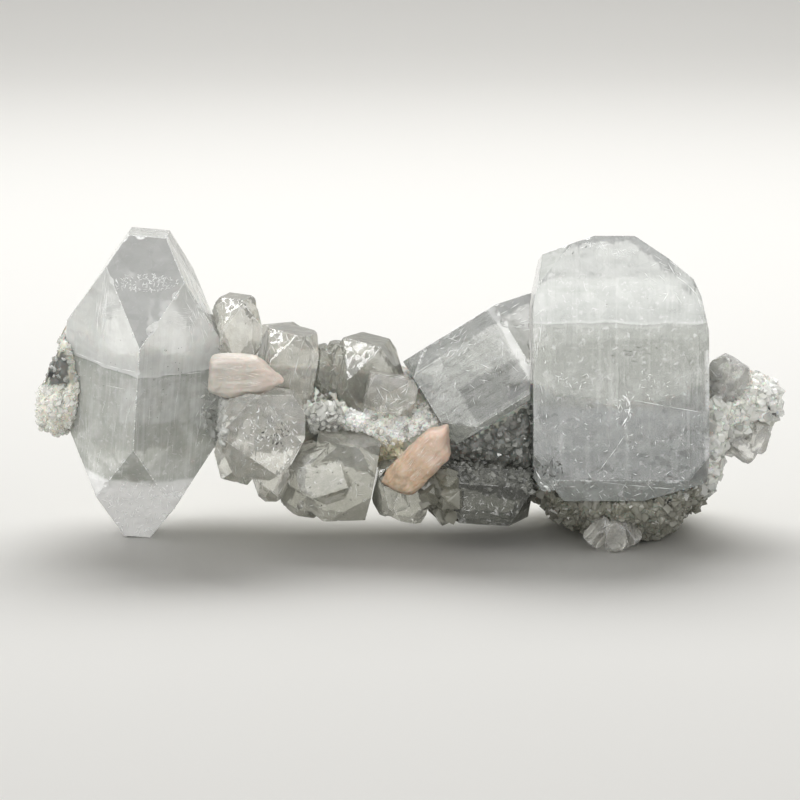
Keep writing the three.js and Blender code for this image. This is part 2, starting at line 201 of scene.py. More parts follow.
def zoned_tone(tree, grain, zones):
    """Colour zones across the c axis, with boundaries that waver in waves of about 6 mm."""
    axes = add_node(tree, "ShaderNodeSeparateXYZ", {0: grain})
    waver = add_node(tree, "ShaderNodeTexNoise", {"Vector": grain, "Scale": 0.16, "Detail": 2.0})
    shift = add_node(tree, "ShaderNodeMath", {0: waver, 1: 2 * ZONE_WAVER}, operation="MULTIPLY")
    height = add_node(tree, "ShaderNodeMath", {0: axes.outputs["Z"], 1: shift}, operation="ADD")
    low, high = zones[0][0], zones[-1][0]
    span = add_node(tree, "ShaderNodeMapRange", {0: height, 1: low + ZONE_WAVER, 2: high + ZONE_WAVER})
    ramp = add_node(tree, "ShaderNodeValToRGB", {"Fac": span})
    set_ramp(ramp.color_ramp, [((z - low) / (high - low), code) for z, code in zones])
    return ramp


def grown_material(name, zones, roughness=(0.01, 0.06), haze="f7f8f6", cloudiness=0.45, tint="f3f5ee",
                   bands=0.2, streaks=0.35, crackle=0.15, shadow=0.25, edge_white=0.9, clarity=CLARITY):
    """Apophyllite: glassy natural faces, growth lines up the prism, and colour zones across the c axis.

    zones are (height in mm up the c axis, hex colour) pairs from the bottom to the top of the crystal;
    crackle is how broken the faces look, and shadow how dark the clearest patches are.
    """
    material, tree = new_material(name)
    grain = add_node(tree, "ShaderNodeAttribute", attribute_name="grain_mm").outputs["Vector"]
    prism, tone, patch, chip, edge = [
        add_node(tree, "ShaderNodeAttribute", attribute_name=layer).outputs["Fac"]
        for layer in ("prism_face", "facet_tone", "patch_tone", "frost", "edge_line")]

    # growth bands across the c axis, about 1 mm thick and 6 mm wide
    flat = add_node(tree, "ShaderNodeMapping", {"Vector": grain, "Scale": (0.16, 0.16, 0.9)})
    band = add_node(tree, "ShaderNodeTexNoise", {"Vector": flat, "Scale": 1.0, "Detail": 4.0})
    # painted shade: darker patches of about 5 mm, for the clearer parts of the crystal
    deep = add_node(tree, "ShaderNodeTexNoise", {"Vector": grain, "Scale": 0.21, "Detail": 3.0,
                                                 "Distortion": 0.8})
    # silky fibres up the prism, 0.5 mm wide and 12 mm long: real ones are finer, and wouldn't show
    fine = add_node(tree, "ShaderNodeMapping", {"Vector": grain, "Scale": (1.9, 1.9, 0.08)})
    striae = add_node(tree, "ShaderNodeTexNoise", {"Vector": fine, "Scale": 1.0, "Detail": 1.5})
    fibres = add_node(tree, "ShaderNodeMath", {0: prism, 1: streaks}, operation="MULTIPLY")
    # milky clouds of about 2.4 mm, and white wisps of about 0.8 mm inside the crystal
    cloud = add_node(tree, "ShaderNodeTexNoise", {"Vector": grain, "Scale": 0.42, "Detail": 3.5,
                                                  "Roughness": 0.65, "Distortion": 0.5})
    wisp = add_node(tree, "ShaderNodeTexNoise", {"Vector": grain, "Scale": 1.3, "Detail": 2.5,
                                                 "Roughness": 0.7, "Distortion": 1.2})
    shade = layered(tree, zoned_tone(tree, grain, zones), [
        (band, 0.5, 0.72, bands, "9ea19b", MULTIPLY), (deep, 0.5, 0.7, shadow, "7d817c", MIX),
        (striae, 0.52, 0.75, fibres, haze, MIX), (cloud, 0.45, 0.75, cloudiness, haze, MIX),
        (wisp, 0.58, 0.70, 0.7, "ffffff", MIX)])

    # broken faces: facets of about 1.3 mm that catch the light differently, and white worn edges
    cell = add_node(tree, "ShaderNodeTexVoronoi", {"Vector": grain, "Scale": 0.75, "Randomness": 1.0})
    split = add_node(tree, "ShaderNodeSeparateColor", {0: cell.outputs["Color"]})
    facet = add_node(tree, "ShaderNodeMapRange", {0: split, 3: 1.0 - crackle * 1.6, 4: 1.0 + crackle * 0.4})
    # painted light and shade: the broken facets, each face's painted shade by its direction, and the patches
    # on the side towards the eye
    for factor in (facet, tone, patch):
        shade = add_node(tree, "ShaderNodeMix", {0: 1.0, 6: shade, 7: factor}, **MULTIPLY)
    worn = add_node(tree, "ShaderNodeMapRange", {0: wisp, 1: 0.35, 2: 0.6, 3: 0.1, 4: edge_white})
    line = add_node(tree, "ShaderNodeMath", {0: edge, 1: worn}, operation="MULTIPLY")
    frost = add_node(tree, "ShaderNodeMath", {0: chip, 1: line}, operation="MAXIMUM")
    frosted = add_node(tree, "ShaderNodeMix", {0: frost, 6: shade, 7: srgb("ffffff")}, **MIX)

    # polished patches, duller etched ones, and broken frosted chips
    polish = add_node(tree, "ShaderNodeMapRange", {0: cloud, 1: 0.35, 2: 0.7, 3: roughness[0],
                                                   4: roughness[1]})
    dull = add_node(tree, "ShaderNodeMath", {0: frost, 1: 0.3}, operation="MULTIPLY")
    rough = add_node(tree, "ShaderNodeMath", {0: polish, 1: dull}, operation="ADD")

    # relief: striae along the prism, low swells of about 2 mm, and the steps between broken facets
    ribs = add_node(tree, "ShaderNodeMath", {0: striae, 1: prism}, operation="MULTIPLY")
    wave = add_node(tree, "ShaderNodeTexNoise", {"Vector": grain, "Scale": 0.5, "Detail": 1.0})
    swell = add_node(tree, "ShaderNodeMath", {0: wave, 1: 2.2, 2: ribs}, operation="MULTIPLY_ADD")
    relief = add_node(tree, "ShaderNodeMath", {0: cell, 1: crackle * 6.0, 2: swell},
                      operation="MULTIPLY_ADD")
    bump = add_node(tree, "ShaderNodeBump", {"Height": relief, "Strength": 0.6, "Distance": 0.10 * MM})
    shader = add_node(tree, "ShaderNodeBsdfPrincipled", {
        "Base Color": frosted, "Roughness": rough, "Normal": bump, "IOR": APOPHYLLITE_IOR,
        "Transmission Weight": clarity})
    volume = add_node(tree, "ShaderNodeVolumeAbsorption", {"Color": srgb(tint), "Density": 5.0})
    close_material(tree, Surface=shader, Volume=volume)
    return material


def druse_material(name, low, high, clarity, roughness):
    """Small apophyllite crystals and broken grains: glassy, with a tone that drifts every 2.4 mm or so."""
    material, tree = new_material(name)
    place = add_node(tree, "ShaderNodeTexCoord").outputs["Object"]
    tuft = add_node(tree, "ShaderNodeTexNoise", {"Vector": place, "Scale": 420.0, "Detail": 4.0})
    colour = add_node(tree, "ShaderNodeValToRGB", {"Fac": tuft})
    set_ramp(colour.color_ramp, [(0.35, low), (0.65, high)])
    rough = add_node(tree, "ShaderNodeMapRange", {0: tuft, 1: 0.3, 2: 0.7, 3: roughness,
                                                  4: roughness + 0.12})
    shader = add_node(tree, "ShaderNodeBsdfPrincipled", {
        "Base Color": colour, "Roughness": rough, "IOR": APOPHYLLITE_IOR, "Transmission Weight": clarity})
    close_material(tree, Surface=shader)
    return material


def mark_material(name, low, high, roughness, clarity=0.0):
    """A scratch, crack or speck, mottled every 0.7 mm: a fine white gleam, or the dark of a hollow."""
    material, tree = new_material(name)
    place = add_node(tree, "ShaderNodeTexCoord").outputs["Object"]
    mottle = add_node(tree, "ShaderNodeTexNoise", {"Vector": place, "Scale": 1500.0, "Detail": 2.0})
    colour = add_node(tree, "ShaderNodeValToRGB", {"Fac": mottle})
    set_ramp(colour.color_ramp, [(0.35, low), (0.65, high)])
    shader = add_node(tree, "ShaderNodeBsdfPrincipled", {
        "Base Color": colour, "Roughness": roughness, "IOR": MARK_IOR, "Transmission Weight": clarity})
    close_material(tree, Surface=shader)
    return material


def chalcedony_material():
    """Botryoidal chalcedony: waxy, grey to olive, with black manganese spots, and painted shade in the
    hollows between the knobs.

    Its cloudy tone changes about every 4.5 mm. Its grit is 0.4 mm, as the real one is too fine to show.
    """
    material, tree = new_material("chalcedony_waxy_botryoidal")
    place = add_node(tree, "ShaderNodeTexCoord").outputs["Object"]
    band = add_node(tree, "ShaderNodeTexNoise", {"Vector": place, "Scale": 220.0, "Detail": 5.0})
    tone = add_node(tree, "ShaderNodeValToRGB", {"Fac": band})
    set_ramp(tone.color_ramp, [(0.3, "8f8f80"), (0.5, "afafa2"), (0.72, "d0d1c8")])
    for layer, code in CHALCEDONY_LAYERS:
        amount = add_node(tree, "ShaderNodeAttribute", attribute_name=layer).outputs["Fac"]
        tone = add_node(tree, "ShaderNodeMix", {0: amount, 6: tone, 7: srgb(code)}, **MIX)
    grit = add_node(tree, "ShaderNodeTexNoise", {"Vector": place, "Scale": 2600.0, "Detail": 3.0})
    bump = add_node(tree, "ShaderNodeBump", {"Height": grit, "Strength": 0.3, "Distance": 0.06 * MM})
    rough = add_node(tree, "ShaderNodeMapRange", {0: band, 3: 0.18, 4: 0.45})
    shader = add_node(tree, "ShaderNodeBsdfPrincipled", {
        "Base Color": tone, "Roughness": rough, "Normal": bump, "IOR": CHALCEDONY_IOR,
        "Subsurface Weight": 0.35, "Subsurface Scale": 1.2 * MM})
    close_material(tree, Surface=shader)
    return material


def stilbite_material(name, stops, sheen):
    """Stilbite: a sheaf of thin blades, pearly and flesh pink at the tips, warmer towards the root.

    The laths are 3 mm long and 0.4 to 0.7 mm wide, wider than real ones so that they show.
    """
    material, tree = new_material(name)
    grain = add_node(tree, "ShaderNodeAttribute", attribute_name="grain_mm").outputs["Vector"]
    warm = add_node(tree, "ShaderNodeAttribute", attribute_name="warmth").outputs["Fac"]
    sheaf = add_node(tree, "ShaderNodeMapping", {"Vector": grain, "Scale": (0.3, 1.4, 2.6)})
    lines = add_node(tree, "ShaderNodeTexNoise", {"Vector": sheaf, "Scale": 1.0, "Detail": 5.0})
    mottle = add_node(tree, "ShaderNodeTexNoise", {"Vector": grain, "Scale": 0.9, "Detail": 4.0})
    drift = add_node(tree, "ShaderNodeMapRange", {0: mottle, 1: 0.3, 2: 0.7, 3: -0.18, 4: 0.18})
    depth = add_node(tree, "ShaderNodeMath", {0: warm, 1: drift}, operation="ADD")
    tone = add_node(tree, "ShaderNodeValToRGB", {"Fac": depth})
    set_ramp(tone.color_ramp, stops)
    streaked = layered(tree, tone, [(lines, 0.48, 0.72, 0.5, sheen, MIX)])
    bump = add_node(tree, "ShaderNodeBump", {"Height": lines, "Strength": 0.7, "Distance": 0.10 * MM})
    rough = add_node(tree, "ShaderNodeMapRange", {0: lines, 3: 0.28, 4: 0.55})
    shader = add_node(tree, "ShaderNodeBsdfPrincipled", {
        "Base Color": streaked, "Roughness": rough, "Normal": bump, "IOR": STILBITE_IOR,
        "Subsurface Weight": 0.4, "Subsurface Scale": 1.2 * MM, "Coat Weight": 0.25, "Coat Roughness": 0.25})
    close_material(tree, Surface=shader)
    return material


# ------------------------------------------------------------------ object and mesh helpers
def put_object(name, data):
    """A new object in the scene."""
    placed = bpy.data.objects.new(name, data)
    bpy.context.scene.collection.objects.link(placed)
    return placed


def applied_mesh(holder):
    """The mesh of an object with its modifier applied; the object itself goes."""
    mesh = bpy.data.meshes.new_from_object(holder.evaluated_get(bpy.context.evaluated_depsgraph_get()))
    bpy.data.objects.remove(holder)
    return mesh


def link_piece(name, mesh, material):
    piece = put_object(name, mesh)
    specimen.objects.link(piece)
    mesh.materials.clear()
    mesh.materials.append(material)
    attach(piece, "root")
    return piece


def bmesh_of(mesh):
    bm = bmesh.new()
    bm.from_mesh(mesh)
    return bm


def node_skin(node):
    """A copy of a CAD node's skin with its corners merged."""
    bm = bmesh_of(frame["nodes"][node].data)
    bmesh.ops.remove_doubles(bm, verts=bm.verts, dist=0.002 * MM)
    return bm


def node_solid(node):
    """The skin of a CAD node with its flat faces whole again."""
    bm = node_skin(node)
    bmesh.ops.dissolve_limit(bm, angle_limit=math.radians(0.8), verts=bm.verts, edges=bm.edges)
    return bm


def convex_edges(bm, least):
    """The edges that stand out by more than least degrees."""
    limit = math.radians(least)
    return [e for e in bm.edges if len(e.link_faces) == 2 and e.calc_face_angle_signed(0) > limit]


def mesh_of(name, bm):
    """The mesh of a bmesh, which is freed."""
    mesh = bpy.data.meshes.new(name)
    bm.to_mesh(mesh)
    bm.free()
    return mesh


def triangulate_rest(bm):
    bmesh.ops.triangulate(bm, faces=[f for f in bm.faces if len(f.verts) > 3])


def split_edges(bm, edges):
    bmesh.ops.subdivide_edges(bm, edges=edges, cuts=1)
    triangulate_rest(bm)


def clean(bm):
    """Merges what fell together, drops faces without area and closes the skin again."""
    bmesh.ops.remove_doubles(bm, verts=bm.verts, dist=0.0015 * MM)
    bmesh.ops.dissolve_degenerate(bm, edges=bm.edges, dist=0.001 * MM)
    triangulate_rest(bm)
    for _ in range(5):
        torn = dict.fromkeys(f for e in bm.edges if len(e.link_faces) not in (0, 2) for f in e.link_faces)
        bmesh.ops.delete(bm, geom=list(torn), context="FACES")
        bmesh.ops.delete(bm, geom=[e for e in bm.edges if not e.link_faces], context="EDGES")
        bmesh.ops.delete(bm, geom=[v for v in bm.verts if not v.link_faces], context="VERTS")
        rims = [e for e in bm.edges if len(e.link_faces) == 1]
        if not rims:
            break
        bmesh.ops.holes_fill(bm, edges=rims, sides=0)
        triangulate_rest(bm)
    bmesh.ops.recalc_face_normals(bm, faces=bm.faces)


def refine(bm, longest):
    """Splits edges until none is longer than the given length in mm."""
    bmesh.ops.triangulate(bm, faces=bm.faces)
    for _ in range(8):
        long_edges = [e for e in bm.edges if e.calc_length() > longest * MM]
        if not long_edges:
            break
        split_edges(bm, long_edges)


def seen_at(tree, u, v):
    """The point and normal of a skin seen at u, v on the display plane."""
    ray = (VIEW * EYE_DISTANCE + (RIGHT * u + UP * v) * MM).normalized()
    point, normal, _, _ = tree.ray_cast(EYE, ray)
    return point, normal


def mesh_points(mesh, key="co"):
    """The places of a mesh's vertices, or their normals, as an array."""
    points = np.empty(len(mesh.vertices) * 3)
    mesh.vertices.foreach_get(key, points)
    return points.reshape(-1, 3)


def display_points(points):
    """The display coordinates of many points, as two arrays."""
    ray = points - np.array(EYE)
    scale = EYE_DISTANCE / (ray @ np.array(VIEW)) / MM
    return ray @ np.array(RIGHT) * scale, ray @ np.array(UP) * scale


def display_side(mesh):
    """How much each vertex belongs to the side that faces the eye, from 0 to 1."""
    return np.clip(0.4 - 3 * (mesh_points(mesh, "normal") @ np.array(VIEW)), 0.0, 1.0)


def inside_outline(u, v, outline):
    """Which display points lie inside a closed outline."""
    inside = np.zeros(len(u), dtype=bool)
    for (u0, v0), (u1, v1) in zip(outline, outline[1:] + outline[:1]):
        if v0 != v1:
            inside ^= ((v0 > v) != (v1 > v)) & (u < (u1 - u0) * (v - v0) / (v1 - v0) + u0)
    return inside


def stand_on_floor(mesh):
    """No point of a mesh may be under the floor."""
    points = mesh_points(mesh)
    points[:, 2] = np.maximum(points[:, 2], 0.0)
    mesh.vertices.foreach_set("co", points.ravel())


def stance_matrix(node):
    """Turns a point of the scene into the crystal's own axes, with c along +Z, in mm from its middle."""
    lean, tilt = STANCE.get(node, (0.0, 0.0))
    low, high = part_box(node)
    turn = Matrix.Rotation(math.radians(tilt), 4, "X") @ Matrix.Rotation(math.radians(lean), 4, "Y")
    return Matrix.Scale(1 / MM, 4) @ turn.inverted() @ Matrix.Translation(-(Vector(low) + Vector(high)) / 2)


def write_floats(mesh, name, values, domain="POINT"):
    layer = mesh.attributes.new(name, "FLOAT", domain)
    layer.data.foreach_set("value", values)


def write_grain(mesh, to_crystal):
    """Stores the piece's own coordinates in mm, so that its pattern follows its growth."""
    grain = mesh.attributes.new("grain_mm", "FLOAT_VECTOR", "POINT")
    for i, vertex in enumerate(mesh.vertices):
        grain.data[i].vector = to_crystal @ vertex.co


def write_facets(mesh, to_crystal, tones):
    """Stores which faces belong to the prism, and the painted shade of each face by its direction."""
    turn = to_crystal.to_3x3().normalized()
    prism, painted_shades = [], []
    for polygon in mesh.polygons:
        normal = (turn @ polygon.normal).normalized()
        prism.append(1.0 if abs(normal.z) < PRISM_SLOPE else 0.0)
        painted_shades.append(1.0)
        for direction, factor in tones:
            if normal.dot(Vector(direction).normalized()) > SAME_FACET:
                painted_shades[-1] = factor
    write_floats(mesh, "prism_face", prism, "FACE")
    write_floats(mesh, "facet_tone", painted_shades, "FACE")


# ------------------------------------------------------------------ crystals
def edge_chips(bm, count, sizes, seed):
    """Balls that bite into the edges: (centre, radius) in scene units, spread along the convex edges."""
    rng = random.Random(seed)
    edges = convex_edges(bm, CHIPPED_EDGE)
    weights = [e.calc_length() for e in edges]
    chips = []
    for edge in rng.choices(edges, weights=weights, k=count):
        t = rng.random()
        point = edge.verts[0].co.lerp(edge.verts[1].co, t)
        outward = (edge.link_faces[0].normal + edge.link_faces[1].normal).normalized()
        radius = rng.uniform(*sizes) * MM
        depth = radius * rng.uniform(*CHIP_DEPTH)
        aside = Vector([rng.uniform(-1, 1) for _ in range(3)]) * 0.25
        outward = (outward + aside).normalized()
        chips.append((point + outward * (radius - depth), radius))
    return chips


def nearest_ball(bm, balls):
    """For each vertex, how far it is outside the nearest ball, and which ball that is."""
    bm.verts.ensure_lookup_table()
    points = np.array([v.co for v in bm.verts])
    gaps = np.stack([np.linalg.norm(points - np.array(c), axis=1) - r for c, r in balls])
    return gaps.min(axis=0), gaps.argmin(axis=0)


def bite(bm, balls):
    """Carves each ball out of the skin as a shell-shaped chip with fine ripples."""
    limits = np.array([max(CHIP_MESH * MM, r * CHIP_MESH_SHARE) for _, r in balls])
    for _ in range(4):
        gap, which = nearest_ball(bm, balls)
        near = np.nonzero(gap < CHIP_RIM * MM)[0]
        long_edges = dict.fromkeys(e for i in near for e in bm.verts[i].link_edges
                                   if e.calc_length() > limits[which[i]])
        if not long_edges:
            break
        split_edges(bm, list(long_edges))
    gap, which = nearest_ball(bm, balls)
    for i in np.nonzero(gap < 0)[0]:
        centre, radius = balls[which[i]]
        away = bm.verts[i].co - centre
        ripple = 1 + 0.02 * math.sin(away.x / MM * 9) * math.cos(away.z / MM * 7)
        bm.verts[i].co = centre + away.normalized() * radius * ripple


def worn_crystal(node, chips, chip_sizes, seed, step, frosting):
    """The worn, softly waving and chipped mesh of a CAD crystal, with the frost of each chipped vertex."""
    bm = node_solid(node)
    balls = edge_chips(bm, chips, chip_sizes, seed)
    worn = bmesh.ops.bevel(bm, geom=convex_edges(bm, WORN_EDGE), offset=EDGE_WEAR * MM, segments=2,
                           profile=0.6, affect="EDGES", clamp_overlap=True)
    for face in bm.faces:
        face.material_index = 0
    for face in worn["faces"]:
        face.material_index = 1  # marks the worn edges until they are written out
    refine(bm, step)
    bite(bm, balls)
    clean(bm)
    bm.normal_update()
    frost = []
    for vertex, outside in zip(bm.verts, nearest_ball(bm, balls)[0]):
        point = vertex.co / MM
        swell = noise.noise(point * 0.28) + 0.5 * noise.noise(point * 0.8)
        vertex.co += vertex.normal * swell * FACET_WAVE * MM
        broken = outside < 0.02 * MM
        frost.append(frosting * max(0.0, min(1.0, 0.5 + noise.noise(point * 2.3))) if broken else 0.0)
    mesh = mesh_of(node + "_grown", bm)
    mesh.validate()
    stand_on_floor(mesh)
    return mesh, frost


def write_painted_tone_and_frost(mesh, patches, frost):
    """Stores the painted shade and light of the patches, and the whitened parts, on the side that faces the
    eye.
    """
    u, v = display_points(mesh_points(mesh))
    tone, near_side = np.ones(len(u)), display_side(mesh)
    for outline, factor in patches:
        tone *= 1 + (factor - 1) * inside_outline(u, v, outline) * near_side
    write_floats(mesh, "patch_tone", tone)
    ragged = np.clip([noise.noise(vertex.co / MM * 0.9) + 0.6 for vertex in mesh.vertices], 0.2, 1.4)
    for outline, strength in FROST_PATCHES:
        frost = np.maximum(frost, inside_outline(u, v, outline) * near_side * strength * ragged)
    write_floats(mesh, "frost", frost)


def finish_crystal(node, material, slot, chips, chip_sizes, seed, tones=(), step=FACET_STEP, patches=(),
                   frosting=0.7):
    """The crystal as it grew: worn edges, slowly waving faces and shell-shaped chips on the CAD shape."""
    mesh, frost = worn_crystal(node, chips, chip_sizes, seed, step, frosting)
    mesh.shade_smooth()
    mesh.set_sharp_from_angle(angle=SHARP_FOLD)
    to_crystal = stance_matrix(node)
    write_grain(mesh, to_crystal)
    write_facets(mesh, to_crystal, tones)
    write_floats(mesh, "edge_line", [float(p.material_index) for p in mesh.polygons], "FACE")
    mesh.polygons.foreach_set("material_index", [0] * len(mesh.polygons))
    write_painted_tone_and_frost(mesh, patches, frost)
    piece = link_piece(node + "_grown", mesh, material)
    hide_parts(node)
    return piece


def joined_skin(pieces):
    """The vertices and the triangles of some pieces, as two arrays."""
    points, triangles, base = [], [], 0
    for piece in pieces:
        mesh = piece.data
        mesh.calc_loop_triangles()
        corners = np.empty(len(mesh.loop_triangles) * 3, dtype=int)
        mesh.loop_triangles.foreach_get("vertices", corners)
        points.append(mesh_points(mesh))
        triangles.append(corners.reshape(-1, 3) + base)
        base += len(points[-1])
    return np.concatenate(points), np.concatenate(triangles)


def skin_tree(pieces):
    """A search tree over the skins of some pieces."""
    points, triangles = joined_skin(pieces)
    return BVHTree.FromPolygons(points.tolist(), triangles.tolist())


# ------------------------------------------------------------------ scratches, cracks, specks and painted glints
def spindle(verts, faces, start, end, normal, width):
    """A thin closed sliver from start to end, lying in a surface with the given normal."""
    side = (end - start).cross(normal).normalized() * (width * MM) / 2
    high = normal.normalized() * (SLIVER_DEPTH * MM) / 2
    middle = start.lerp(end, 0.5)
    base = len(verts)
    verts += [start, end, middle + side, middle + high, middle - side, middle - high]
    for a, b in ((2, 3), (3, 4), (4, 5), (5, 2)):
        faces += [(base, base + a, base + b), (base + 1, base + b, base + a)]


def strokes_piece(name, strokes, material):
    """One mesh for many slivers; strokes are (start, end, normal, width in mm)."""
    verts, faces = [], []
    for stroke in strokes:
        spindle(verts, faces, *stroke)
    mesh = bpy.data.meshes.new(name)
    mesh.from_pydata([tuple(v) for v in verts], [], faces)
    mesh.update()
    bm = bmesh_of(mesh)
    bmesh.ops.recalc_face_normals(bm, faces=bm.faces)
    bm.to_mesh(mesh)
    bm.free()
    link_piece(name, mesh, material)


def drawn_strokes(tree, path, width):
    """Slivers along a path of display points, laid on the skin."""
    hits = [seen_at(tree, u, v) for u, v in path]
    return [(a, b, normal, width) for (a, normal), (b, _) in zip(hits, hits[1:])
            if a and b and (a - b).length < LONGEST_LINE * MM]


def strewn_strokes(tree, u0, v0, ru, rv, count, length, width, heading, spread, seed):
    """Slivers strewn over an oval on the display plane, near one heading in degrees."""
    rng = random.Random(seed)
    strokes = []
    for _ in range(count):
        angle, r = rng.uniform(0, 2 * math.pi), math.sqrt(rng.random())
        u, v = u0 + ru * r * math.cos(angle), v0 + rv * r * math.sin(angle)
        turn = math.radians(heading + rng.gauss(0, spread))
        half = rng.uniform(*length) / 2
        a, na = seen_at(tree, u - half * math.cos(turn), v - half * math.sin(turn))
        b, _ = seen_at(tree, u + half * math.cos(turn), v + half * math.sin(turn))
        if a and b and (a - b).length < 3 * half * MM + 0.1 * MM:
            strokes.append((a, b, na, rng.uniform(*width)))
    return strokes


def marks_on(tree, marks, seed):
    """The slivers of a table of marks; each row has its own seed."""
    return [stroke for k, mark in enumerate(marks) for stroke in strewn_strokes(tree, *mark, seed=seed + k)]


# ------------------------------------------------------------------ druse
def hull_shape(name, points):
    """A closed convex shape through some points."""
    bm = bmesh.new()
    for point in points:
        bm.verts.new(point)
    bmesh.ops.convex_hull(bm, input=bm.verts)
    bmesh.ops.delete(bm, geom=[v for v in bm.verts if not v.link_faces], context="VERTS")
    bmesh.ops.recalc_face_normals(bm, faces=bm.faces)
    return bpy.data.objects.new(name, mesh_of(name, bm))


def shard(name, seed, stretch):
    """A worn grain with about two dozen flat faces, one unit across."""
    rng = random.Random(seed)
    points = [Vector([rng.gauss(0, 1) for _ in range(3)]).normalized() * 0.5 for _ in range(15)]
    return hull_shape(name, [(p.x, p.y, p.z * stretch - 0.05) for p in points])


def habit(name, corner, tall, pointed):
    """A small apophyllite crystal one unit wide: a square prism with its corners or its top cut away."""
    a, t = 0.5, tall
    points = [(x, y, -0.4) for x in (-a, a) for y in (-a, a)]
    if pointed:
        points += [(x, y, t - corner) for x in (-a, a) for y in (-a, a)]
        points += [(0.08, 0, t), (-0.08, 0, t), (0, 0.08, t), (0, -0.08, t)]
    else:
        c = a - corner
        points += [(x, y, t - corner * 1.3) for x in (-a, a) for y in (-a, a)]
        points += [(x, y, t) for x, y in [(a, c), (c, a), (-a, c), (-c, a),
                                          (a, -c), (c, -a), (-a, -c), (-c, -a)]]
    return hull_shape(name, points)


def shape_set(name, shapes):
    shelf = bpy.data.collections.new(name)
    for shape in shapes:
        shelf.objects.link(shape)
    return shelf


def druse_tree():
    """Grows a druse: shapes set on a skin, leaning at random, then made real and given their material."""
    tree = bpy.data.node_groups.new("druse_growth", "GeometryNodeTree")
    sockets = {"Skin": "Geometry", "Shapes": "Collection", "Spacing": "Float", "Density": "Float",
               "Smallest": "Float", "Largest": "Float", "Lean": "Float", "Seed": "Int", "Finish": "Material"}
    for name, kind in sockets.items():
        tree.interface.new_socket(name, in_out="INPUT", socket_type="NodeSocket" + kind)
    tree.interface.new_socket("Druse", in_out="OUTPUT", socket_type="NodeSocketGeometry")
    given = add_node(tree, "NodeGroupInput").outputs
    spread = add_node(tree, "GeometryNodeDistributePointsOnFaces", {
        "Mesh": given["Skin"], "Distance Min": given["Spacing"], "Density Max": given["Density"],
        "Seed": given["Seed"]}, distribute_method="POISSON")
    size = add_node(tree, "FunctionNodeRandomValue", {2: given["Smallest"], 3: given["Largest"],
                                                      8: given["Seed"]}, data_type="FLOAT")
    least = add_node(tree, "ShaderNodeMath", {0: given["Lean"], 1: -1.0}, operation="MULTIPLY")
    low = add_node(tree, "ShaderNodeCombineXYZ", {0: least, 1: least})
    high = add_node(tree, "ShaderNodeCombineXYZ", {0: given["Lean"], 1: given["Lean"], 2: 2 * math.pi})
    lean = add_node(tree, "FunctionNodeRandomValue", {0: low, 1: high, 8: given["Seed"]},
                    data_type="FLOAT_VECTOR")
    turn = add_node(tree, "FunctionNodeEulerToRotation", {0: lean})
    stand = add_node(tree, "FunctionNodeRotateRotation", {0: spread.outputs["Rotation"], 1: turn},
                     rotation_space="LOCAL")
    shelf = add_node(tree, "GeometryNodeCollectionInfo", {
        "Collection": given["Shapes"], "Separate Children": True, "Reset Children": True})
    grow = add_node(tree, "GeometryNodeInstanceOnPoints", {
        "Points": spread, "Instance": shelf, "Pick Instance": True, "Rotation": stand, "Scale": size})
    real = add_node(tree, "GeometryNodeRealizeInstances", {"Geometry": grow})
    dressed = add_node(tree, "GeometryNodeSetMaterial", {"Geometry": real, "Material": given["Finish"]})
    add_node(tree, "NodeGroupOutput", {0: dressed})
    return tree


def skin_patch(pieces, outline):
    """The part of some skins that is seen inside a display outline."""
    points, triangles = joined_skin(pieces)
    a, b, c = [points[triangles[:, k]] for k in range(3)]
    normal = np.cross(b - a, c - a)
    toward = -(normal @ np.array(VIEW)) / (np.linalg.norm(normal, axis=1) + 1e-12)
    u, v = display_points((a + b + c) / 3)
    kept = triangles[(toward > PATCH_FACING) & inside_outline(u, v, outline)]
    joined, index = np.unique(kept, return_inverse=True)
    mesh = bpy.data.meshes.new("patch")
    mesh.from_pydata(points[joined].tolist(), [], index.reshape(-1, 3).tolist())
    return mesh


def grow_druse(name, tree, patch, shapes, material, spacing, sizes, lean, seed):
    """A druse on a patch of skin; spacing and sizes in mm, lean in degrees."""
    ground = put_object(name + "_ground", patch)
    growth = ground.modifiers.new("druse", "NODES")
    growth.node_group = tree
    values = {"Shapes": shapes, "Spacing": spacing * MM, "Density": 4.0 / (spacing * MM) ** 2,
              "Smallest": sizes[0] * MM, "Largest": sizes[1] * MM, "Lean": math.radians(lean), "Seed": seed,
              "Finish": material}
    for item in tree.interface.items_tree:
        if item.name in values:
            growth[item.identifier] = values[item.name]
    mesh = applied_mesh(ground)
    mesh.name = name
    stand_on_floor(mesh)
    for layer in [a.name for a in mesh.attributes if not a.is_required and not a.is_internal]:
        mesh.attributes.remove(mesh.attributes[layer])
    mesh.shade_flat()
    link_piece(name, mesh, material)


# ------------------------------------------------------------------ the stalactite
def scatter_on(bm, spacing, seed):
    """Points spread over a skin about one spacing apart."""
    rng = random.Random(seed)
    faces = list(bm.faces)
    weights = [f.calc_area() for f in faces]
    cell = spacing * MM
    wanted = int(KNOB_TRIES * sum(weights) / cell**2)
    kept, grid = [], {}
    for face in rng.choices(faces, weights=weights, k=wanted):
        a, b, c = [v.co for v in face.verts[:3]]
        u, v = rng.random(), rng.random()
        if u + v > 1:
            u, v = 1 - u, 1 - v
        point = a + (b - a) * u + (c - a) * v
        i, j, k = [int(math.floor(x / cell)) for x in point]
        near = [q for x in (i - 1, i, i + 1) for y in (j - 1, j, j + 1) for z in (k - 1, k, k + 1)
                for q in grid.get((x, y, z), [])]
        if all((point - q).length > KNOB_LEAST_GAP * cell for q in near):
            grid.setdefault((i, j, k), []).append(point)
            kept.append(point)
    return kept


def voxel_skin(node):
    """The node's skin remeshed into even small faces."""
    holder = put_object("skin", mesh_of("skin", node_skin(node)))
    remesh = holder.modifiers.new("skin", "REMESH")
    remesh.mode = "VOXEL"
    remesh.voxel_size = SKIN_VOXEL * MM
    return applied_mesh(holder)


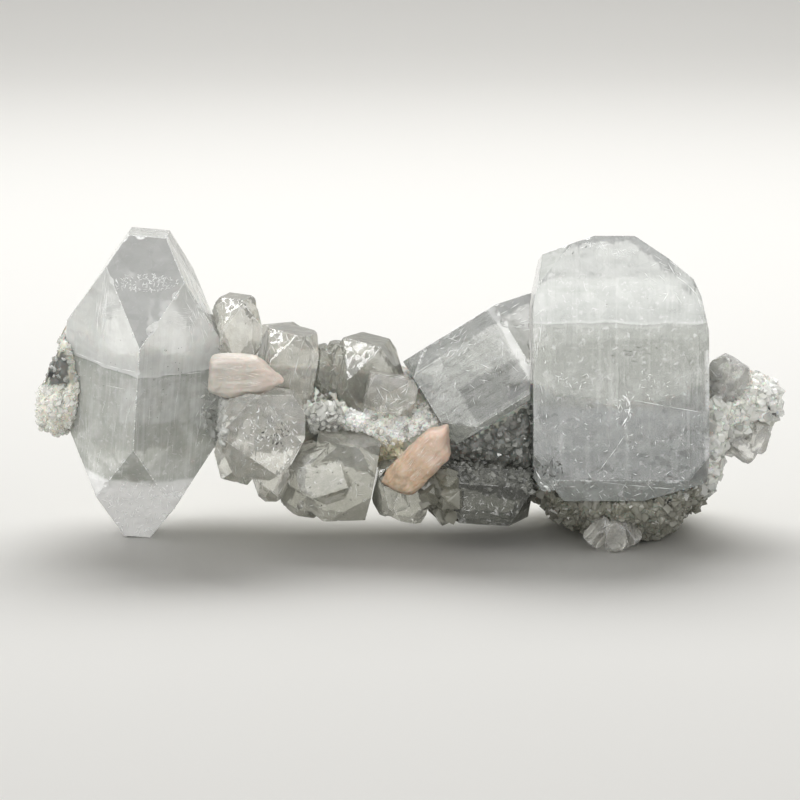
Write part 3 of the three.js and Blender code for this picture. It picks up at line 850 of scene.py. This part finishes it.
def knob_lifts(bm):
    """How high each vertex of a skin rises on a botryoidal knob, from 0 to 1."""
    seeds = scatter_on(bm, KNOB_SPACING, seed=11)
    knobs = kdtree.KDTree(len(seeds))
    for i, seed in enumerate(seeds):
        knobs.insert(seed, i)
    knobs.balance()
    sizes = random.Random(5)
    reach = [KNOB_SPACING * sizes.uniform(0.62, 1.05) for _ in seeds]
    lifts = []
    for vertex in bm.verts:
        lift = 0.0
        for _, i, distance in knobs.find_n(vertex.co, 4):
            d = distance / MM
            if d < reach[i]:
                lift = max(lift, math.sqrt(1 - (d / reach[i]) ** 2) * reach[i] / KNOB_SPACING)
        lifts.append(lift)
    return lifts


def knobbed_skin(node, crystals):
    """The stalactite's mesh with its knobs; for each vertex its lift, and the painted light beside a
    crystal.
    """
    mesh = voxel_skin(node)
    bm = bmesh_of(mesh)
    bmesh.ops.triangulate(bm, faces=bm.faces)
    lifts, crust = knob_lifts(bm), []
    for vertex, lift in zip(bm.verts, lifts):
        near = crystals.find_nearest(vertex.co, 2.0 * MM)[3] or 2.0 * MM
        free = min(1.0, near / (SEAT_REACH * MM))  # knobs are low where a crystal is seated
        # painted light: the skin is lightened within a short reach of a crystal
        crust.append(max(0.0, 1 - near / (PAINTED_LIGHT_REACH * MM)))
        grit = 0.06 * noise.noise(vertex.co / MM * 3.1) + 0.05 * noise.noise(vertex.co / MM * 6.5)
        flat = min(1.0, max(0.0, vertex.co.z / MM / FOOT_HEIGHT))  # the foot stays flat where it rests
        vertex.co += vertex.normal * (lift * KNOB_RISE * free - KNOB_SINK * free + grit) * MM * flat
    bm.to_mesh(mesh)
    bm.free()
    mesh.name = "chalcedony_knobs"
    return mesh, lifts, crust


def finish_stalactite(material, crystals, zones, spots):
    """Knobs all over the skin; zones are the display outlines of its tones, and spots are black."""
    node = "chalcedony_stalactite"
    mesh, lifts, crust = knobbed_skin(node, crystals)
    mesh.shade_smooth()
    # painted shade: the lower the lift, the darker the skin between the knobs
    write_floats(mesh, "hollow", [max(0.0, 1 - lift * 1.6) for lift in lifts])
    u, v = display_points(mesh_points(mesh))
    near_side = display_side(mesh)
    ragged = np.array([0.7 * noise.noise(vertex.co / MM * 1.7) for vertex in mesh.vertices])
    seen = np.zeros(len(u))
    for name, outlines in zones.items():
        inside = np.any([inside_outline(u + ragged, v - ragged, outline) for outline in outlines], axis=0)
        seen = np.maximum(seen, inside * near_side)
        write_floats(mesh, name, 0.9 * inside * near_side)
    # painted light beside the crystals, wherever no zone's tone is laid
    write_floats(mesh, "crust", (1 - seen) * crust)
    black = np.zeros(len(u))
    for a, b, ra, rb in spots:
        black = np.maximum(black, ((u - a) / ra) ** 2 + ((v - b) / rb) ** 2 < 1 + ragged)
    write_floats(mesh, "manganese", black * near_side)
    piece = link_piece(mesh.name, mesh, material)
    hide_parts(node)
    return piece


def finish_blade(node, material, root, tip):
    """A stilbite blade: fine laths along the blade, warm in colour towards its root."""
    bm = node_solid(node)
    bmesh.ops.bevel(bm, geom=convex_edges(bm, WORN_EDGE), offset=BLADE_ROUNDING * MM, segments=3,
                    profile=0.6, affect="EDGES", clamp_overlap=True)
    refine(bm, BLADE_STEP)
    clean(bm)
    bm.normal_update()
    axis = (Vector(tip) - Vector(root)).normalized()
    side = axis.cross(VIEW).normalized()
    for vertex in bm.verts:
        point = vertex.co / MM
        across, up, deep = side.dot(point), axis.dot(point), VIEW.dot(point)
        lath = noise.noise(Vector((across * 1.9, up * 0.14, deep * 0.7)))
        lath += 0.5 * noise.noise(Vector((across * 4.5, up * 0.3, deep * 2)))
        swell = noise.noise(point * 0.45) * 0.25 + lath * 0.09 + noise.noise(point * 2.6) * 0.05
        vertex.co += vertex.normal * swell * MM
    mesh = mesh_of(node + "_grown", bm)
    mesh.validate()
    mesh.shade_smooth()
    mesh.set_sharp_from_angle(angle=BLADE_FOLD)
    write_grain(mesh, Matrix((axis, side, VIEW)).to_4x4() @ Matrix.Scale(1 / MM, 4))
    length = (Vector(tip) - Vector(root)).length
    warmth = [1 - (v.co / MM - Vector(root)).dot(axis) / length for v in mesh.vertices]
    write_floats(mesh, "warmth", [max(0.0, min(1.0, w)) for w in warmth])
    piece = link_piece(node + "_grown", mesh, material)
    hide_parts(node)
    return piece


# ------------------------------------------------------------------ stage, lights and camera
def make_stage():
    """A pale seamless sweep: floor, a wide curve and a wall."""
    front, bend, radius, top, half_width, steps = -1.6, 0.45, 0.35, 1.6, 2.0, 12
    profile = [(front, 0.0), (bend, 0.0)]
    for k in range(1, steps + 1):
        a = math.radians(90 * k / steps)
        profile.append((bend + radius * math.sin(a), radius * (1 - math.cos(a))))
    profile.append((bend + radius, top))
    bm = bmesh.new()
    rows = [[bm.verts.new((x, y, z)) for x in (-half_width, half_width)] for y, z in profile]
    for near, far in zip(rows, rows[1:]):
        bm.faces.new((near[0], near[1], far[1], far[0]))
    mesh = mesh_of("paper_sweep", bm)
    mesh.shade_smooth()
    material, tree = new_material("matte_white_paper")
    shader = add_node(tree, "ShaderNodeBsdfPrincipled", {"Base Color": srgb("f0efec"), "Roughness": 0.75})
    close_material(tree, Surface=shader)
    mesh.materials.append(material)
    sweep = put_object("paper_sweep", mesh)


def add_softbox(name, place, aim, size, power):
    light = bpy.data.lights.new(name, "AREA")
    light.shape = "RECTANGLE"
    light.size, light.size_y = size
    light.energy = power
    lamp = put_object(name, light)
    lamp.location = place
    lamp.rotation_euler = (Vector(aim) - Vector(place)).to_track_quat("-Z", "Y").to_euler()
    return lamp


def light_stage():
    """A wide softbox above and behind; the specimen alone sees the fill and the white cards around it."""
    add_softbox("overhead_softbox", (0.0, 0.28, 0.43), (0.0, -0.10, 0.0), (0.7, 0.22), 2.6)
    add_softbox("backdrop_wash", (0.0, 0.55, 0.45), (0.0, 0.9, 0.15), (1.2, 0.1), 0.55)
    # name, place, size, power
    cards = [("specimen_fill", (-0.15, -0.7, 0.55), (1.0, 0.8), 4.2),
             ("left_card", (-1.1, -0.1, 0.35), (1.3, 1.3), 4.2),
             ("right_card", (1.1, -0.1, 0.35), (1.3, 1.3), 4.4),
             ("front_card", (0.0, -1.3, 0.15), (2.2, 1.0), 8.5),
             ("gleam_strip", (-0.45, -0.35, 0.6), (0.06, 0.5), 1.2),
             ("top_card", (0.0, -0.1, 1.3), (1.6, 1.6), 6.0)]
    for name, place, size, power in cards:
        card = add_softbox(name, place, (0.0, 0.0, 0.02), size, power)
        card.light_linking.receiver_collection = specimen
    world = bpy.data.worlds.new("studio")
    world.use_nodes = True
    world.node_tree.nodes["Background"].inputs["Color"].default_value = srgb("f4f3f0")
    world.node_tree.nodes["Background"].inputs["Strength"].default_value = 0.38
    scene = bpy.context.scene
    scene.world = world
    scene.view_settings.view_transform = "Standard"
    scene.view_settings.look = "None"
    scene.cycles.use_denoising = True
    scene.cycles.max_bounces = 14
    scene.cycles.transmission_bounces = 14
    scene.cycles.glossy_bounces = 6
    scene.cycles.diffuse_bounces = 4


def place_camera():
    camera = bpy.data.cameras.new("display_camera")
    camera.sensor_width = 36.0
    camera.lens = LENS
    camera.clip_start = 0.02
    camera.clip_end = 10.0
    holder = put_object("display_camera", camera)
    holder.location = EYE
    holder.rotation_euler = (math.radians(90) - EYE_RISE, 0, 0)
    bpy.context.scene.camera = holder


# ------------------------------------------------------------------ where the details are
# Display points are mm to the right of and above the point looked at.
DARK_ZONE = [(6.2, -2.4), (9.5, -5.1), (13.6, -3.3), (18.2, -0.3), (18.4, -12.2), (14.2, -12.5),
             (7.0, -11.1), (6.0, -7.5)]
SUGARY_ZONE = [(-6.5, -0.3), (-3.8, 1.1), (2.7, -0.3), (6.2, 0.3), (6.5, -2.7), (3.4, -3.8), (1.1, -5.4),
               (-2.0, -6.2), (-5.7, -5.4), (-7.3, -2.7)]
CAVITY_ZONE = [(-11.7, 3.8), (-9.2, 4.1), (-8.8, -1.4), (-11.1, -1.6), (-12.2, 0.7)]
PALE_ZONE = [(-13.1, -0.5), (-7.5, -0.5), (-7.0, -4.1), (-12.2, -4.3)]
LEFT_JOIN = [(-26.6, 2.7), (-23.6, 2.0), (-23.6, -6.1), (-26.0, -5.4), (-27.0, -2.0)]
BASE_ZONE = [(15.6, -12.9), (21.7, -12.5), (39.3, -12.2), (42.6, -12.4), (42.7, -14.9),
             (39.3, -17.6), (32.5, -19.6), (25.7, -19.0), (19.0, -16.9), (15.2, -15.2)]
RIGHT_LUMP = [(41.5, 6.8), (52.2, 6.8), (52.2, -5.4), (46.7, -8.8), (42.6, -12.4), (38.6, -13.4),
              (38.6, -12.3), (41.5, -9.5)]
LEFT_LUMP = [(-49.3, 2.0), (-47.4, 1.6), (-45.0, 1.8), (-43.4, 2.4), (-43.4, -5.4), (-49.3, -5.4)]
LEFT_UPPER = [(-49.3, 8.8), (-43.4, 8.8), (-43.4, 2.4), (-45.0, 1.8), (-47.4, 1.6), (-49.3, 2.0)]
LEFT_DARK = [(-47.6, 6.1), (-45.2, 6.4), (-44.6, 4.0), (-45.4, 2.0), (-47.8, 2.0)]
LOWER_GAP = [(3.0, -10.3), (7.2, -10.3), (7.2, -15.7), (4.0, -15.7)]
OLIVE_ZONE = [(-4.6, -4.9), (0.3, -5.4), (0.0, -10.6), (-3.8, -10.8)]
BLACK_SPOTS = [(36.3, -14.6, 0.8, 1.5), (34.4, -13.8, 0.4, 0.3), (37.8, -13.9, 0.3, 0.3),
               (41.6, -12.0, 0.5, 0.4), (50.3, -1.6, 0.7, 1.0), (-47.4, 3.4, 0.5, 0.5)]


# Slivers strewn over the faces: middle, half width, half height, how many, lengths, widths, heading, spread.
WHITE_MARKS = [
    (-40.4, 13.4, 0.9, 4.5, 30, (1.5, 5.0), (0.04, 0.1), 86, 4),  # left crystal: fibres at its shoulder
    (-34.7, 15.9, 4.8, 1.2, 150, (0.2, 0.8), (0.04, 0.09), 10, 70),  # etched band under its top
    (-39.2, 12.3, 1.2, 1.1, 26, (0.5, 1.4), (0.03, 0.06), 4, 6),  # hatching
    (-29.5, 11.0, 2.1, 1.4, 34, (0.5, 1.6), (0.03, 0.06), -6, 8),  # hatching
    (-27.4, 12.3, 1.8, 4.4, 40, (0.8, 3.0), (0.05, 0.14), -70, 10),  # bright strip down its right side
    (-34.8, -3.7, 9.4, 6.3, 27, (1.0, 4.0), (0.02, 0.04), 84, 5),  # fibres below the zone line
    (-34.2, -14.7, 6.3, 3.4, 150, (0.3, 1.3), (0.07, 0.22), 40, 70),  # clear point: painted glints on its broken edges
    (-25.9, -3.4, 1.9, 5.2, 27, (0.3, 1.3), (0.04, 0.08), 80, 40),  # right edge
    (-22.2, 12.1, 3.1, 2.5, 27, (0.3, 1.4), (0.05, 0.11), 70, 60),  # small upper crystal
    (-15.3, 6.2, 3.7, 4.4, 27, (0.3, 1.5), (0.04, 0.1), 100, 50),  # upper middle crystal
    (-18.0, -5.4, 4.6, 4.5, 130, (0.2, 0.7), (0.05, 0.16), 60, 90),  # front middle crystal
    (-18.4, -5.1, 5.7, 6.3, 36, (0.3, 1.4), (0.04, 0.09), 100, 60),  # front middle rim
    (-5.6, 6.2, 6.1, 2.7, 31, (0.3, 1.3), (0.04, 0.08), 20, 50),  # ridge crystals
    (-8.8, -10.8, 6.7, 6.0, 49, (0.3, 1.4), (0.04, 0.08), 70, 70),  # lower middle
    (-0.9, -2.7, 5.5, 3.3, 90, (0.3, 1.3), (0.05, 0.11), 30, 90),  # centre
    (-1.1, 1.8, 4.5, 2.2, 18, (0.4, 1.6), (0.05, 0.11), 20, 50),  # centre crystal
    (7.9, 8.1, 2.7, 2.3, 40, (0.3, 1.6), (0.04, 0.08), 38, 25),  # tilted crystal veils
    (16.3, 11.7, 3.0, 2.4, 36, (0.3, 1.8), (0.05, 0.11), 30, 40),  # tilted crystal top: painted sparkle
    (10.8, 2.4, 7.5, 6.3, 27, (0.3, 1.6), (0.03, 0.06), 60, 60),  # tilted crystal face
    (26.2, 20.9, 1.9, 0.8, 22, (0.3, 1.6), (0.05, 0.11), -10, 40),  # block: chipped top edge, with painted glints
    (30.2, 19.9, 2.5, 0.7, 18, (0.3, 1.5), (0.05, 0.11), -30, 30),  # block: painted glints
    (37.4, 16.9, 4.2, 3.7, 31, (0.3, 1.6), (0.05, 0.11), -45, 40),  # block: broken shoulder
    (24.0, 2.9, 2.8, 1.1, 13, (0.3, 1.2), (0.04, 0.08), 40, 60),  # block: cracks
    (35.1, 2.2, 4.6, 2.1, 11, (0.3, 0.9), (0.04, 0.08), 60, 80),  # block: marks
    (30.4, -1.5, 1.2, 2.5, 27, (0.3, 1.0), (0.05, 0.09), 80, 40),  # block: veil
    (30.2, -4.1, 11.6, 6.0, 49, (0.2, 1.0), (0.03, 0.06), 70, 80),  # block: middle
    (31.2, -11.6, 10.4, 2.0, 40, (0.3, 1.6), (0.05, 0.09), 4, 40),  # block: lower bevel
    (19.0, 2.0, 0.9, 14.2, 13, (0.5, 2.6), (0.05, 0.09), 88, 10),  # block: left side
    (11.2, -14.4, 6.3, 1.5, 18, (0.3, 1.2), (0.03, 0.06), 10, 60),  # lower grey crystal
    (44.9, 4.6, 3.1, 2.1, 27, (0.3, 1.6), (0.05, 0.11), -35, 50),  # right crystals
]
BLADE_MARKS = [
    (-20.3, 3.6, 4.4, 1.9, 70, (0.6, 2.4), (0.03, 0.07), -6, 7),  # left blade
    (3.4, -7.7, 2.6, 3.9, 60, (0.5, 2.0), (0.03, 0.07), 50, 9),  # right blade
]
DARK_MARKS = [
    (-34.2, 3.7, 6.3, 6.3, 34, (0.1, 0.28), (0.08, 0.16), 30, 90),  # left crystal specks
    (-16.9, -4.7, 1.9, 1.9, 30, (0.2, 0.7), (0.08, 0.25), 40, 90),  # front middle pits
    (31.3, 6.3, 4.6, 1.3, 16, (0.4, 1.8), (0.04, 0.09), 2, 8),  # block streaks
    (20.3, -9.4, 1.8, 1.3, 26, (0.3, 0.9), (0.08, 0.2), 40, 90),  # block lower left
    (30.5, 2.7, 11.2, 11.9, 26, (0.08, 0.25), (0.06, 0.14), 30, 90),  # block specks
    (-8.5, -11.2, 6.3, 4.8, 20, (0.1, 0.3), (0.08, 0.18), 30, 90),  # lower middle specks
    (-20.6, 11.5, 1.2, 1.5, 6, (0.2, 0.5), (0.08, 0.2), 60, 60),  # small upper
    (10.5, 2.4, 7.8, 5.6, 16, (0.1, 0.3), (0.06, 0.14), 30, 90),  # tilted specks
]
WHITE_LINES = [
    (0.06, [(31.6, 0.0), (36.4, -0.9), (41.0, -1.7)]),  # block, edge of the lowest zone
    (0.3, [(18.4, -9.6), (19.1, -10.8), (20.5, -11.9), (21.1, -11.4), (21.7, -10.6)]),  # foot crystal
    (0.07, [(-42.7, -9.4), (-37.4, -11.1), (-33.7, -11.5), (-28.7, -10.6)]),  # left crystal lower zone line
    (0.07, [(27.1, -9.5), (28.2, -8.0), (29.4, -6.4), (30.5, -4.7)]),  # block scratch
    (0.22, [(30.1, 0.7), (30.9, 0.1), (31.2, -0.8), (30.9, -2.2), (30.1, -3.5)]),  # block veil edge
    (0.12, [(36.3, 18.6), (37.4, 16.8), (39.0, 15.7), (40.3, 14.2), (40.8, 12.5)]),  # block broken shoulder
    (0.14, [(9.5, -4.1), (12.2, -3.3), (14.2, -2.4), (16.4, -1.6)]),  # tilted lower edge
    (0.07, [(-44.2, 6.5), (-42.0, 5.6), (-39.8, 4.7), (-37.8, 4.2), (-35.8, 3.8), (-32.8, 3.5),
            (-29.4, 3.5), (-26.8, 3.8)]),  # left crystal zone line
    (0.05, [(-40.0, 2.0), (-36.9, 1.4), (-33.6, 0.7)]),  # left crystal lower line
    (0.13, [(-13.0, 9.1), (-13.7, 6.0), (-14.5, 2.7)]),  # upper middle edge
    (0.3, [(-2.6, 3.4), (-0.8, 3.3), (1.1, 2.8), (2.8, 2.4)]),  # centre top edge
    (0.1, [(-3.4, 3.3), (-4.2, 1.6), (-5.0, 0.0)]),  # centre long edge
    (0.09, [(23.4, -10.8), (27.1, -11.1), (30.6, -11.5), (33.9, -11.8), (37.4, -12.1)]),  # block bevel line
]

# Whitened, finely fractured parts of the crystals, as display outlines with a strength.
FROST_PATCHES = [([(-12.6, -1.1), (-7.9, -1.1), (-7.9, -3.8), (-12.6, -3.8)], 1.0),
                 ([(41.3, 6.8), (47.7, 6.8), (47.7, -1.4), (41.3, -1.4)], 0.85),
                 ([(41.5, -5.4), (50.2, -4.0), (50.2, -9.5), (41.5, -9.5)], 0.8),
                 ([(-28.7, 2.7), (-23.8, 2.0), (-23.8, -6.1), (-28.5, -2.7)], 0.6),
                 ([(-41.0, -11.0), (-28.0, -11.0), (-33.5, -18.5), (-38.0, -18.5)], 0.75),
                 ([(9.2, -4.6), (16.4, -1.8), (18.6, -0.2), (18.6, -1.9), (16.3, -3.3), (9.4, -5.2)], 0.4),
                 ([(-32.5, 13.5), (-26.4, 13.5), (-26.4, 3.8), (-32.5, 3.3)], 0.45),
                 ([(-38.0, 3.0), (-29.0, 3.0), (-29.0, -3.0), (-38.0, -3.0)], 0.5),
                 ([(-4.6, 6.8), (0.4, 6.8), (0.4, 2.0), (-4.6, 2.0)], 0.3),
                 ([(-7.0, -4.5), (-1.5, -4.5), (-2.0, -9.0), (-6.0, -9.0)], 0.35),
                 ([(16.5, 7.2), (19.6, 8.6), (19.6, 14.6), (16.0, 13.8)], 0.45),
                 ([(13.0, 13.0), (19.4, 14.6), (19.4, 9.5), (15.5, 9.0)], 0.25)]

# Painted shade and painted light on a face, as display outlines with a factor: below one darker, above one
# lighter.
TILTED_PAINTED_SHADE = [([(7.9, 1.4), (11.4, 3.7), (15.9, 5.6), (17.9, 1.8), (10.4, -3.1)], 0.5)]
BLOCK_PAINTED_LIGHT_SHADE = [([(37.1, 17.2), (40.2, 15.0), (41.1, 12.3), (40.7, 16.0), (39.0, 18.0)], 0.8),
                 ([(31.5, 0.0), (41.3, -1.6), (41.3, -11.5), (31.5, -11.5)], 0.93),
                 ([(20.5, 8.0), (41.6, 8.4), (41.6, -1.0), (31.0, -0.4), (20.5, 0.6)], 0.86),
                 ([(20.5, -7.0), (41.6, -7.0), (41.6, -11.0), (20.5, -10.8)], 0.86),
                 ([(20.0, -10.9), (41.3, -10.9), (41.3, -14.2), (20.0, -14.2)], 1.4)]

# Where the stalactite's tones lie.
STONE_ZONES = {"shade": [DARK_ZONE, LEFT_DARK], "olive": [OLIVE_ZONE], "base": [BASE_ZONE],
               "beige": [LEFT_LUMP], "sugar": [SUGARY_ZONE, PALE_ZONE, LEFT_JOIN, RIGHT_LUMP]}

# Each crystal: its node, its kind of material, its seed, and how it is worn.
KITE_PAINTED_SHADE = [((0, -0.86, 0.51), 0.58)]  # painted shade: the kite-shaped face towards the eye is painted the darkest
SMALL = {"chips": 26, "chip_sizes": (0.3, 0.9), "step": 0.6}
DULL = {"chips": 18, "chip_sizes": (0.3, 0.9), "step": 0.6, "frosting": 0.3}
CRYSTALS = [
    ("block_crystal", "block", 3, {"chips": 34, "chip_sizes": (0.4, 1.2), "patches": BLOCK_PAINTED_LIGHT_SHADE}),
    ("double_pointed_crystal", "pointed", 4, {"chips": 50, "chip_sizes": (0.4, 1.3), "tones": KITE_PAINTED_SHADE}),
    ("tilted_crystal", "tilted", 5, {"chips": 40, "chip_sizes": (0.5, 1.4), "step": 0.45,
                                     "patches": TILTED_PAINTED_SHADE}),
    ("front_middle_crystals", "clear", 20, SMALL),
    ("small_upper_crystal", "clear", 21, SMALL),
    ("upper_middle_crystal", "clear", 22, SMALL),
    ("centre_crystal", "clear", 23, SMALL),
    ("ridge_chip_crystal", "clear", 24, SMALL),
    ("right_upper_crystal", "clear", 25, SMALL),
    ("right_lower_crystals", "clear", 26, SMALL),
    ("hanging_crystals", "clear", 27, SMALL),
    ("back_crystals_left", "clear", 28, SMALL),
    ("back_crystals_right", "clear", 29, SMALL),
    ("ridge_crystals", "grey", 40, SMALL),
    ("lower_middle_crystals", "grey", 41, SMALL),
    ("lower_grey_crystal", "dark", 50, DULL),
    ("lower_centre_crystals", "grey", 51, DULL),
]

# The finishes of the druse: darker tone, paler tone, clarity, least roughness.
DRUSE_FINISHES = {
    "clear": ("e3e5df", "f8f9f6", 0.7, 0.08),  # glassy points and glints
    "sugary": ("f6f3ea", "ffffff", 0.25, 0.1),  # white broken grains
    "smoky": ("70716c", "b0b1aa", 0.6, 0.08),  # painted shade: grey, over the dark hollows
    "olive": ("9a998a", "bbbaae", 0.6, 0.08),  # tinged by the chalcedony under it
    "bright": ("eeefe6", "fdfdfa", 0.5, 0.08),  # pale and half clear
    "hazel": ("e3d8b8", "f5eeda", 0.3, 0.08),  # stained warm
}

# The druse: name, skins, outline, shapes, finish, slot, spacing and sizes in mm, degrees of lean.
GROWTHS = [
    ("dark_blocks", "dark", DARK_ZONE, "grains", "smoky", GREY, 0.7, (0.6, 1.4), 50),
    ("dark_points", "dark", DARK_ZONE, "blocky", "smoky", GREY, 1.3, (0.4, 0.9), 45),
    ("dark_glints", "dark", DARK_ZONE, "grains", "clear", CLEAR, 0.95, (0.12, 0.35), 60),
    ("sugary", "stone", SUGARY_ZONE, "grains", "sugary", CLEAR, 0.40, (0.4, 0.9), 70),
    ("sugary_points", "stone", SUGARY_ZONE, "grains", "clear", CLEAR, 1.4, (0.7, 1.6), 50),
    ("cavity", "stone", CAVITY_ZONE, "grains", "smoky", GREY, 0.6, (0.5, 1.0), 50),
    ("pale", "whole", PALE_ZONE, "grains", "bright", CLEAR, 0.6, (0.5, 1.6), 50),
    ("lower_gap", "whole", LOWER_GAP, "blocky", "olive", GREY, 0.9, (1.3, 2.6), 45),
    ("left_join", "whole", LEFT_JOIN, "grains", "clear", CLEAR, 0.7, (0.5, 1.5), 45),
    ("base", "stone", BASE_ZONE, "grains", "olive", "chalcedony", 0.62, (0.6, 2.0), 35),
    ("base_glints", "stone", BASE_ZONE, "grains", "clear", CLEAR, 0.95, (0.12, 0.4), 60),
    ("right_lump", "stone", RIGHT_LUMP, "grains", "bright", CLEAR, 0.62, (0.6, 2.0), 40),
    ("right_points", "stone", RIGHT_LUMP, "blocky", "clear", CLEAR, 1.6, (0.6, 1.4), 45),
    ("left_lump", "stone", LEFT_LUMP, "grains", "bright", "chalcedony", 0.6, (0.5, 1.5), 40),
    ("left_upper", "stone", LEFT_UPPER, "grains", "clear", CLEAR, 0.95, (0.5, 1.3), 40),
    ("olive", "stone", OLIVE_ZONE, "grains", "hazel", GREY, 0.6, (0.5, 1.4), 40),
]


# ------------------------------------------------------------------ the whole specimen
def crystal_materials():
    """A material for each kind of crystal; zone heights are mm up the c axis from its middle."""
    return {
        # a grey glassy prism, a dark and a white growth line, and a paler cap above them
        "block": grown_material("apophyllite_zoned_block", [
            (-19, "9da09d"), (-8, "a3a6a3"), (-5.6, "aeb1af"), (-4.9, "a8aba5"), (3.4, "a3a69e"),
            (4.1, "a9aca5"), (5.9, "abaea8"), (6.15, "8f928d"), (6.25, "e2e5e2"), (6.6, "c6c9c6"),
            (11, "dde0dd"), (19, "e2e4e2")],
            streaks=0.25, shadow=0.10, cloudiness=0.28, crackle=0.06, clarity=0.66),
        # a grey silky middle under a dark growth line, between two white points
        "pointed": grown_material("apophyllite_zoned_point", [
            (-21, "ffffff"), (-11.8, "ffffff"), (-11.4, "b9bcb5"), (-9.0, "c9cbc4"), (0.9, "d2d4ce"),
            (3.3, "c6c9c3"), (3.5, "aaada7"), (3.6, "ffffff"), (4.2, "eff0ee"), (21, "ebece9")],
            streaks=0.4, bands=0.15, shadow=0.08, crackle=0.05, clarity=0.56),
        # grey up to a sharp line, with a white head above it
        "tilted": grown_material("apophyllite_tilted", [
            (-10, "b1b3af"), (0, "bfc2bd"), (6.2, "c6c8c4"), (6.4, "f2f3f1"), (14, "fafafa")],
            crackle=0.08, clarity=0.68),
        # the small crystals: water-clear with a warm tinge
        "clear": grown_material("apophyllite_clear", [(-8, "dddbd1"), (8, "ebeae4")],
                                crackle=0.12, shadow=0.2, clarity=0.76),
        # duller and greyer, in the shade of the others
        "grey": grown_material("apophyllite_grey", [(-8, "b3b2a6"), (8, "cfcfc6")], haze="dcdcd4",
                               crackle=0.10, shadow=0.12, clarity=0.72, roughness=(0.04, 0.12)),
        # dark grey, with worn edges that hardly whiten
        "dark": grown_material("apophyllite_smoky", [(-5, "70716a"), (5, "6a6b64")], haze="8f9087",
                               cloudiness=0.3, crackle=0.12, edge_white=0.3),
    }


def build_crystals():
    materials = crystal_materials()
    return {node: finish_crystal(node, materials[kind], GREY if kind in ("grey", "dark") else CLEAR,
                                 seed=seed, **settings)
            for node, kind, seed, settings in CRYSTALS}


def grow_all_druse(made, base):
    tree = druse_tree()
    blocks = [habit("cube_a", 0.16, 0.35, False), habit("cube_b", 0.26, 0.55, False),
              habit("point_a", 0.45, 0.8, True)]
    shapes = {"blocky": shape_set("blocky", blocks)}
    grains = [shard("grain_a", 1, 0.7), shard("grain_b", 2, 1.3), shard("grain_c", 3, 1.0),
              shard("grain_d", 4, 0.6)]
    shapes["grains"] = shape_set("grains", grains)
    finishes = {name: druse_material("druse_" + name, *values) for name, values in DRUSE_FINISHES.items()}
    skins = {"stone": [base], "whole": [base, *made.values()], "dark": [base, made["lower_grey_crystal"]]}
    for seed, (name, ground, zone, shape, finish, slot, spacing, sizes, lean) in enumerate(GROWTHS, 1):
        grow_druse("druse_" + name, tree, skin_patch(skins[ground], zone), shapes[shape], finishes[finish],
                   spacing, sizes, lean, seed)
    for shelf in shapes.values():
        for shape in list(shelf.objects):
            bpy.data.objects.remove(shape)
        bpy.data.collections.remove(shelf)


def build_blades():
    pale = stilbite_material("stilbite_pearly_pale", [(0.0, "b8aa9f"), (0.4, "b3aca2"), (1.0, "aeaaa2")],
                             "c6c1ba")
    warm = stilbite_material("stilbite_pearly_pink", [(0.0, "bba697"), (0.35, "bda692"), (0.62, "b59c82"),
                                                      (0.85, "a08c74"), (1.0, "8f816c")], "cdbdb0")
    left = finish_blade("stilbite_blade_left", pale, (-27.0, -12.0, 23.6), (-16.9, -12.0, 24.0))
    right = finish_blade("stilbite_blade_right", warm, (-4.0, -12.0, 8.0), (4.8, -12.0, 18.0))
    pearl = mark_material("stilbite_pearl_edge", "d8cfc8", "f1ebe6", 0.3, clarity=0.1)
    strokes_piece("stilbite_laths", marks_on(skin_tree([left, right]), BLADE_MARKS, 300), pearl)


def build_specimen():
    made = build_crystals()
    skins = skin_tree(made.values())
    white = mark_material("healed_crack_white", "e9ecea", "ffffff", 0.2, clarity=0.2)
    black = mark_material("hollow_speck_dark", "2c2c2a", "4a4a46", 0.6)
    lines = [stroke for width, path in WHITE_LINES for stroke in drawn_strokes(skins, path, width)]
    # white slivers: cracks, fibres and veils, with painted glints among them
    strokes_piece("healed_cracks", lines + marks_on(skins, WHITE_MARKS, 100), white)
    strokes_piece("dark_specks", marks_on(skins, DARK_MARKS, 200), black)
    base = finish_stalactite(chalcedony_material(), skins, STONE_ZONES, BLACK_SPOTS)
    grow_all_druse(made, base)
    build_blades()


build_specimen()
make_stage()
light_stage()
place_camera()
